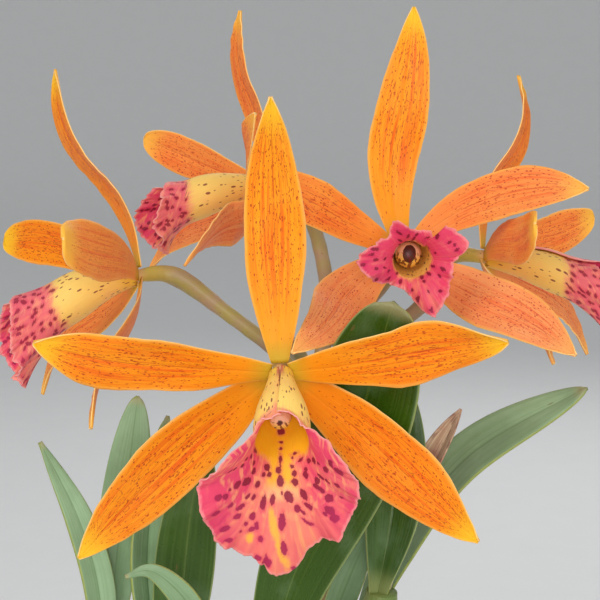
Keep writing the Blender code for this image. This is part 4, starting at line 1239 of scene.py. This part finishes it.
class ORCHID_OT_stalks(bpy.types.Operator):
    """Builds each bloom's stalk, ovary and column, and the flower stem that carries them"""

    bl_idname = "orchid.stalks"
    bl_label = "Stalks and columns"

    def execute(self, context):
        finish = stalk_finish()
        for bloom_name, bloom in BLOOMS.items():
            self.build_stalk(f"{bloom_name}_stalk_and_column", bloom, finish)
        self.build_flower_stem(finish)
        return {"FINISHED"}

    def build_stalk(self, node, bloom, finish):
        club, cap = (FRONT_CLUB, FRONT_CAP) if node.startswith("front") else (SIDE_CLUB, SIDE_CAP)
        turn = bloom_matrix(bloom).to_3x3()
        hub = Vector(bloom["hub"])
        length = COLUMN_SHARE * bloom["lip"]["tube"]
        below = math.radians(bloom["lip"]["heading"][0])
        heading = turn @ Vector((0, -math.sin(below), math.cos(below)))
        axis = turn @ Vector((0, 0, 1))
        foot, knee = (Vector(place) for place in bloom["stalk"][:2])
        foot += (foot - knee).normalized() * SEAT
        route = [foot, *bloom["stalk"][1:], hub - axis * 11, hub, hub + heading * (length / 2),
                 hub + heading * length]
        run = route_length(route)
        seed = seed_of(node)

        def beyond(share):
            return share * run - (run - length)

        def radius(share):
            return np.interp(beyond(share), (-30, -13, -4, 0, 3, 0.6 * length, 0.9 * length, length),
                             (2.1, 2.8, 2.1, 1.75, 1.85, 2.2 * club, 2.8 * club, 2.2 * club))

        def relief(share, round_turn):
            ovary = np.exp(-((beyond(share) + 12) / 7) ** 2)
            return -0.14 * ovary * (1 + np.cos(round_turn * 6)) / 2 + 0.05 * np.sin(share * run * 0.9 + seed)

        bm, share, round_turn = stem_shape(route, radius, 120, 28, 0.2, relief)
        crown = np.clip(np.cos(round_turn), 0, 1)
        out = np.array([vertex.co for vertex in bm.verts]) - at(smooth_route(route)[0], share)
        up = out @ np.array(turn @ Vector((0, 1, 0))) / COLUMN_RADIUS
        side = out @ np.array(turn @ Vector((1, 0, 0))) / COLUMN_RADIUS
        facts = {
            "blade": rows_of(beyond(share), crown, beyond(share) - length),
            "skin": rows_of(up, side, cap),
        }
        build_piece(node, "stalks", bm, finish, facts)

    def build_flower_stem(self, finish):
        """The stem wears the stalks' finish, all of it as if far below a bloom."""
        run = route_length(PEDUNCLE_ROUTE)

        def radius(share):
            return PEDUNCLE_RADIUS * (1.15 - 0.3 * share)

        def relief(share, round_turn):
            joints = sum(np.exp(-((share - place) * run / 1.1) ** 2) for place in PEDUNCLE_JOINTS)
            return 0.12 * joints - 0.05 * (1 + np.cos(round_turn * 7)) / 2

        bm, share, _ = stem_shape(PEDUNCLE_ROUTE, radius, 150, 28, 0.2, relief)
        beyond = share * run - 200
        facts = {"blade": rows_of(beyond, share * 0.5, beyond), "skin": rows_of(0 * share, 0, 0)}
        build_piece("flower_stem", "stalks", bm, finish, facts)


class ORCHID_OT_leaves(bpy.types.Operator):
    """Builds the leathery leaves"""

    bl_idname = "orchid.leaves"
    bl_label = "Leaves"

    def execute(self, context):
        settings = context.scene.orchid_plant
        edge = edge_finish("leaf_edge", 0.5, 3, (0.20, 0.28, 0.04), (0.42, 0.44, 0.12), 0.08, 0.4)
        finishes = [leaf_finish(settings, False), leaf_finish(settings, True), edge]
        for node, shape in LEAVES.items():
            build_blade(node, "leaves", leaf_surface(shape, seed_of(node)), LEAF_GRID,
                        (route_length(shape["route"]), shape["half_width"]), shape["powder"], finishes,
                        settings.leaf_thickness, 0.5)
        return {"FINISHED"}


class ORCHID_OT_sheaths(bpy.types.Operator):
    """Builds the dry sheaths: the old spathe, and the one round the foot of the flower stem"""

    bl_idname = "orchid.sheaths"
    bl_label = "Dry sheaths"

    def execute(self, context):
        finishes = [paper_finish()] * 3
        thickness = context.scene.orchid_plant.paper_thickness
        spathe_size = (route_length(OLD_SPATHE["route"]), OLD_SPATHE["half_width"])
        sheath_size = (FLOWER_SHEATH["height"], FLOWER_SHEATH["half_width"])
        for node, surface, grid, size in (
                ("old_spathe", leaf_surface(OLD_SPATHE, 1.0), SPATHE_GRID, spathe_size),
                ("flower_sheath", rolled_surface(), SHEATH_GRID, sheath_size)):
            build_blade(node, "dry_sheaths", surface, grid, size, None, finishes, thickness, 0.7)
        return {"FINISHED"}


class ORCHID_OT_canes(bpy.types.Operator):
    """Builds the swollen canes"""

    bl_idname = "orchid.canes"
    bl_label = "Canes"

    def execute(self, context):
        finish = cane_finish()
        for node, shape in CANES.items():
            self.build(node, shape["foot"], Vector(shape["top"]), shape["thick"], finish)
        return {"FINISHED"}

    def build(self, node, foot, top, thick, finish):
        foot = Vector((*foot, RHIZOME_LEVEL + RHIZOME_RADIUS))
        foot.z += 0.5 * thick * (top - foot).xy.length / (top - foot).z
        middle = foot.lerp(top, 0.5) + Vector((0, 0, 3))
        seed = seed_of(node)

        def radius(share):
            return thick * np.interp(share, (0, 0.15, 0.5, 0.75, 1), (0.5, 0.62, 0.95, 1, 0.55))

        def ring(share):
            return sum(np.exp(-((share - joint) / 0.012) ** 2) for joint in CANE_JOINTS)

        def relief(share, turn):
            grooves = 0.5 + 0.5 * np.cos(turn * 9 + seed + 0.6 * np.sin(share * 9))
            bulge = np.sin(np.pi * np.clip(share, 0, 1)) ** 0.5
            return -0.45 * grooves * bulge + 0.3 * ring(share) * bulge - 0.1

        bm, share, _ = stem_shape([foot, middle, top], radius, 150, 54, 0, relief)
        build_piece(node, "canes", bm, finish, {"blade": rows_of(share, np.clip(ring(share), 0, 1), seed)})


class ORCHID_OT_rhizome(bpy.types.Operator):
    """Builds the creeping rhizome that joins the canes"""

    bl_idname = "orchid.rhizome"
    bl_label = "Rhizome"

    def execute(self, context):
        def scale(share, turn):
            return (share * RHIZOME_JOINTS * SCALES_PER_JOINT + 0.15 * np.sin(turn * 3)) % 1

        def radius(share):
            return RHIZOME_RADIUS * (0.92 + 0.08 * np.cos(share * 2 * np.pi * RHIZOME_JOINTS))

        def relief(share, turn):
            return -0.28 * (1 - scale(share, turn)) - 0.05 * np.sin(turn * 11)

        bm, share, turn = stem_shape(RHIZOME_ROUTE, radius, 260, 32, 0.2, relief)
        facts = {"blade": rows_of(share, scale(share, turn) ** 3, 0.3)}
        build_piece("rhizome", "rhizome", bm, rhizome_finish(), facts)
        return {"FINISHED"}


class ORCHID_OT_bark(bpy.types.Operator):
    """Fills the pot with a bed of bark and lays loose chips over it"""

    bl_idname = "orchid.bark"
    bl_label = "Bark"

    def execute(self, context):
        self.lying_on, _ = smooth_route(RHIZOME_ROUTE)
        bm = self.bed()
        facts = [(0.2, vertex.co.z * 0.3, 1.0) for vertex in bm.verts]
        dice = random.Random(5)
        noise.seed_set(5)
        for _ in range(context.scene.orchid_pot.chips):
            spin = dice.uniform(0, 2 * math.pi)
            out = math.sqrt(dice.random()) * (pot_inner_radius(BARK_LEVEL) - 6)
            x, y = out * math.cos(spin), out * math.sin(spin)
            size = Vector((dice.uniform(4, 7.5), dice.uniform(2.5, 4.5), dice.uniform(1.0, 1.9)))
            if self.nearest(x, y) >= RHIZOME_RADIUS + 1.2 + size.x * 0.55:
                facts += self.chip(bm, Vector((x, y, BARK_LEVEL + dice.uniform(-1.2, 1.6))), size, dice)
        build_piece("bark", "bark", bm, bark_finish(), {"blade": facts})
        return {"FINISHED"}

    def nearest(self, x, y):
        """How far a place on the bark lies from the rhizome's middle line, seen from above."""
        return float(np.min(np.hypot(self.lying_on[:, 0] - x, self.lying_on[:, 1] - y)))

    def bed(self):
        """The solid bed under the chips."""
        floor = POT_FLOOR + SEAT_GAP
        rim = pot_inner_radius(BARK_LEVEL) - SEAT_GAP - 0.3
        profile = [(0, floor), (pot_inner_radius(POT_FLOOR) - SEAT_GAP - 0.3, floor), (rim, BARK_LEVEL - 3)]
        profile += [(rim * (1 - ring / BARK_RINGS), BARK_LEVEL - 2) for ring in range(1, BARK_RINGS + 1)]
        bm = turned(profile, BARK_SIDES)
        for vertex in bm.verts:
            if vertex.co.z > BARK_LEVEL - 2.5:
                spot = Vector((vertex.co.x / 4, vertex.co.y / 4, 2.0))
                vertex.co.z += 1.6 * noise.noise(spot)
        return bm

    def chip(self, bm, middle, size, dice):
        """Adds one chip: a flake with broken, uneven edges, tilted a little."""
        tilt = Matrix.Rotation(dice.uniform(0, 2 * math.pi), 4, "Z")
        tilt = tilt @ Matrix.Rotation(dice.uniform(-0.35, 0.35), 4, "X")
        tilt = tilt @ Matrix.Rotation(dice.uniform(-0.3, 0.3), 4, "Y")
        flake = bmesh.new()
        bmesh.ops.create_cube(flake, size=2)
        bmesh.ops.subdivide_edges(flake, edges=flake.edges[:], cuts=1, use_grid_fill=True)
        seed = dice.uniform(0, 50)
        tone = dice.random()
        top = pot_inner_radius(BARK_LEVEL) - 1
        facts = []
        for vertex in flake.verts:
            corner = vertex.co.copy()
            vertex.co = corner.normalized().lerp(corner, 0.62)
            vertex.co += 0.3 * noise.noise_vector(corner * 0.9 + Vector((seed, 0, 0)))
            facts.append((tone, vertex.co.z, seed))
            vertex.co = tilt @ (vertex.co * size) + middle
            across = vertex.co.xy.length
            if across > top:
                vertex.co.xy *= top / across
        made = bpy.data.meshes.new("flake")
        flake.to_mesh(made)
        flake.free()
        bm.from_mesh(made)
        bpy.data.meshes.remove(made)
        return facts


class ORCHID_OT_pot(bpy.types.Operator):
    """Turns the clay pot and cuts its drain holes"""

    bl_idname = "orchid.pot"
    bl_label = "Pot"

    def execute(self, context):
        band_foot = POT_HEIGHT - POT_BAND_HEIGHT
        slope = (POT_LIP_RADIUS - POT_BAND_PROUD - POT_FOOT_RADIUS) / POT_HEIGHT
        body = [(POT_FOOT_RADIUS + slope * height, height) for height in (band_foot / 3, band_foot * 2 / 3)]
        neck = POT_FOOT_RADIUS + slope * band_foot
        below_top = pot_inner_radius(POT_HEIGHT - 2)
        profile = [
            (0, 0), (POT_FOOT_RADIUS - 1.5, 0), (POT_FOOT_RADIUS - 0.4, 0.5), (POT_FOOT_RADIUS, 1.5), *body,
            (neck, band_foot - 0.4), (neck + 0.4, band_foot), (POT_LIP_RADIUS - 2.1, band_foot + 0.5),
            (POT_LIP_RADIUS - 1.5, band_foot + 1.2), (POT_LIP_RADIUS - 0.3, POT_HEIGHT - 4),
            (POT_LIP_RADIUS, POT_HEIGHT - 2), (POT_LIP_RADIUS - 0.6, POT_HEIGHT - 0.6),
            (POT_LIP_RADIUS - 2, POT_HEIGHT), (pot_inner_radius(POT_HEIGHT) + 1, POT_HEIGHT),
            (below_top + 0.2, POT_HEIGHT - 0.6), (below_top, POT_HEIGHT - 2),
            (pot_inner_radius(POT_HEIGHT / 2), POT_HEIGHT / 2), (pot_inner_radius(POT_FLOOR), POT_FLOOR),
            (0, POT_FLOOR),
        ]
        bm = turned(profile, POT_SIDES)
        facts = {"blade": [self.facts_of(vertex.co) for vertex in bm.verts]}
        piece = mesh_piece("fine_pot", bm, [clay_finish(context.scene.orchid_pot)], facts)
        for index in range(DRAIN_HOLES):
            self.cut_drain(piece, 2 * math.pi * index / DRAIN_HOLES)
        stand_in(piece, "pot", "pot")
        return {"FINISHED"}

    def facts_of(self, place):
        """Height, distance from the axis, and how much of an edge a point of the pot is."""
        out = place.xy.length
        rim = math.exp(-((place.z - POT_HEIGHT) / 1.6) ** 2) * (out > POT_LIP_RADIUS - 8)
        band = math.exp(-((place.z - POT_HEIGHT + POT_BAND_HEIGHT - 0.8) / 0.8) ** 2)
        band *= out > POT_LIP_RADIUS - 2.5
        return (place.z, out, max(rim, band))

    def cut_drain(self, pot, turn):
        """Cuts one round drain hole through the pot's floor.

        The cutter is turned by half a side, so that no corner of it meets an edge of the pot.
        """
        bm = bmesh.new()
        bmesh.ops.create_cone(bm, cap_ends=True, segments=DRAIN_SIDES, radius1=DRAIN_RADIUS,
                              radius2=DRAIN_RADIUS, depth=2 * POT_FLOOR)
        half_side = Matrix.Rotation(math.pi / DRAIN_SIDES, 3, "Z")
        bmesh.ops.rotate(bm, cent=(0, 0, 0), matrix=half_side, verts=bm.verts)
        place = (DRAIN_DISTANCE * math.cos(turn), DRAIN_DISTANCE * math.sin(turn), POT_FLOOR / 2)
        bmesh.ops.translate(bm, vec=place, verts=bm.verts)
        cutter = mesh_piece("drain_cutter", bm, [])
        cut = pot.modifiers.new("drain", "BOOLEAN")
        cut.operation = "DIFFERENCE"
        cut.solver = "EXACT"
        cut.object = cutter
        graph = bpy.context.evaluated_depsgraph_get()
        mesh = bpy.data.meshes.new_from_object(pot.evaluated_get(graph))
        pot.modifiers.clear()
        pot.data = mesh
        bpy.data.objects.remove(cutter, do_unlink=True)


class ORCHID_OT_stage(bpy.types.Operator):
    """Lays the floor and sets the lights and the camera"""

    bl_idname = "orchid.stage"
    bl_label = "Stage"

    def execute(self, context):
        settings = context.scene.orchid_stage
        self.floor(settings.floor_radius / MM)
        self.world(context.scene)
        for name, (place, size, share) in LIGHTS.items():
            self.light(name, Vector(place), Vector(LIGHT_AIM) * MM, size, settings.key_power * share)
        self.camera(context.scene)
        return {"FINISHED"}

    def floor(self, radius):
        """A disc whose rim curves up into a low wall all round."""
        wall = radius * 0.25
        profile = [(radius * share, 0) for share in (0, 0.1, 0.3, 0.6, 0.9, 1)]
        profile += [(radius + wall * math.sin(math.radians(turn)), wall * (1 - math.cos(math.radians(turn))))
                    for turn in range(10, 91, 10)]
        profile.append((radius + wall, wall * 2))
        bm = turned([(out, height - 0.5) for out, height in profile], 96)
        piece = mesh_piece("floor", bm, [floor_finish()])
        piece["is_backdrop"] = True

    def world(self, scene):
        world = bpy.data.worlds.new("soft_room")
        world.use_nodes = True
        background = world.node_tree.nodes["Background"]
        background.inputs["Color"].default_value = (0.95, 0.97, 1.0, 1)
        background.inputs["Strength"].default_value = 0.45
        scene.world = world
        scene.view_settings.view_transform = "Standard"

    def light(self, name, place, aim, size, power):
        lamp = bpy.data.lights.new(name, "AREA")
        lamp.shape = "DISK"
        lamp.size = size
        lamp.energy = power
        holder = bpy.data.objects.new(name, lamp)
        holder.location = place
        holder.rotation_euler = (aim - place).to_track_quat("-Z", "Y").to_euler()
        bpy.context.scene.collection.objects.link(holder)

    def camera(self, scene):
        tilt = math.radians(CAMERA_TILT)
        lens = bpy.data.cameras.new("camera")
        lens.lens = CAMERA_LENS
        lens.clip_start = 0.01
        camera = bpy.data.objects.new("camera", lens)
        back = Vector((0, -math.cos(tilt), math.sin(tilt)))
        camera.location = (Vector(CAMERA_AIM) + back * CAMERA_DISTANCE) * MM
        camera.rotation_euler = (math.pi / 2 - tilt, 0, 0)
        scene.collection.objects.link(camera)
        scene.camera = camera


class ORCHID_PT_sidebar(bpy.types.Panel):
    """Lists what the orchid is built of"""

    bl_label = "Cattleya"
    bl_idname = "ORCHID_PT_sidebar"
    bl_space_type = "VIEW_3D"
    bl_region_type = "UI"
    bl_category = "Cattleya"

    def draw(self, context):
        for operator in OPERATORS:
            self.layout.operator(operator.bl_idname)
        for group in SETTINGS:
            settings = getattr(context.scene, group)
            for key in settings.bl_rna.properties.keys():
                if key not in ("rna_type", "name"):
                    self.layout.prop(settings, key)


OPERATORS = (ORCHID_OT_tepals, ORCHID_OT_lips, ORCHID_OT_stalks, ORCHID_OT_leaves, ORCHID_OT_sheaths,
             ORCHID_OT_canes, ORCHID_OT_rhizome, ORCHID_OT_bark, ORCHID_OT_pot, ORCHID_OT_stage)

SETTINGS = {
    "orchid_blooms": OrchidBloomSettings,
    "orchid_plant": OrchidPlantSettings,
    "orchid_pot": OrchidPotSettings,
    "orchid_stage": OrchidStageSettings,
}


def register():
    for group, made in SETTINGS.items():
        bpy.utils.register_class(made)
        setattr(bpy.types.Scene, group, PointerProperty(type=made))
    for made in (*OPERATORS, ORCHID_PT_sidebar):
        bpy.utils.register_class(made)


def unregister():
    for made in reversed((*OPERATORS, ORCHID_PT_sidebar)):
        bpy.utils.unregister_class(made)
    for group, made in SETTINGS.items():
        delattr(bpy.types.Scene, group)
        bpy.utils.unregister_class(made)


def main():
    register()
    for operator in OPERATORS:
        group, name = operator.bl_idname.split(".")
        getattr(getattr(bpy.ops, group), name)()
    bpy.context.view_layer.update()
    sizes = {"cad": [list(corner) for corner in CAD_BOX], "visual": [list(corner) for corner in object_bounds()]}


if __name__ == "__main__":
    main()
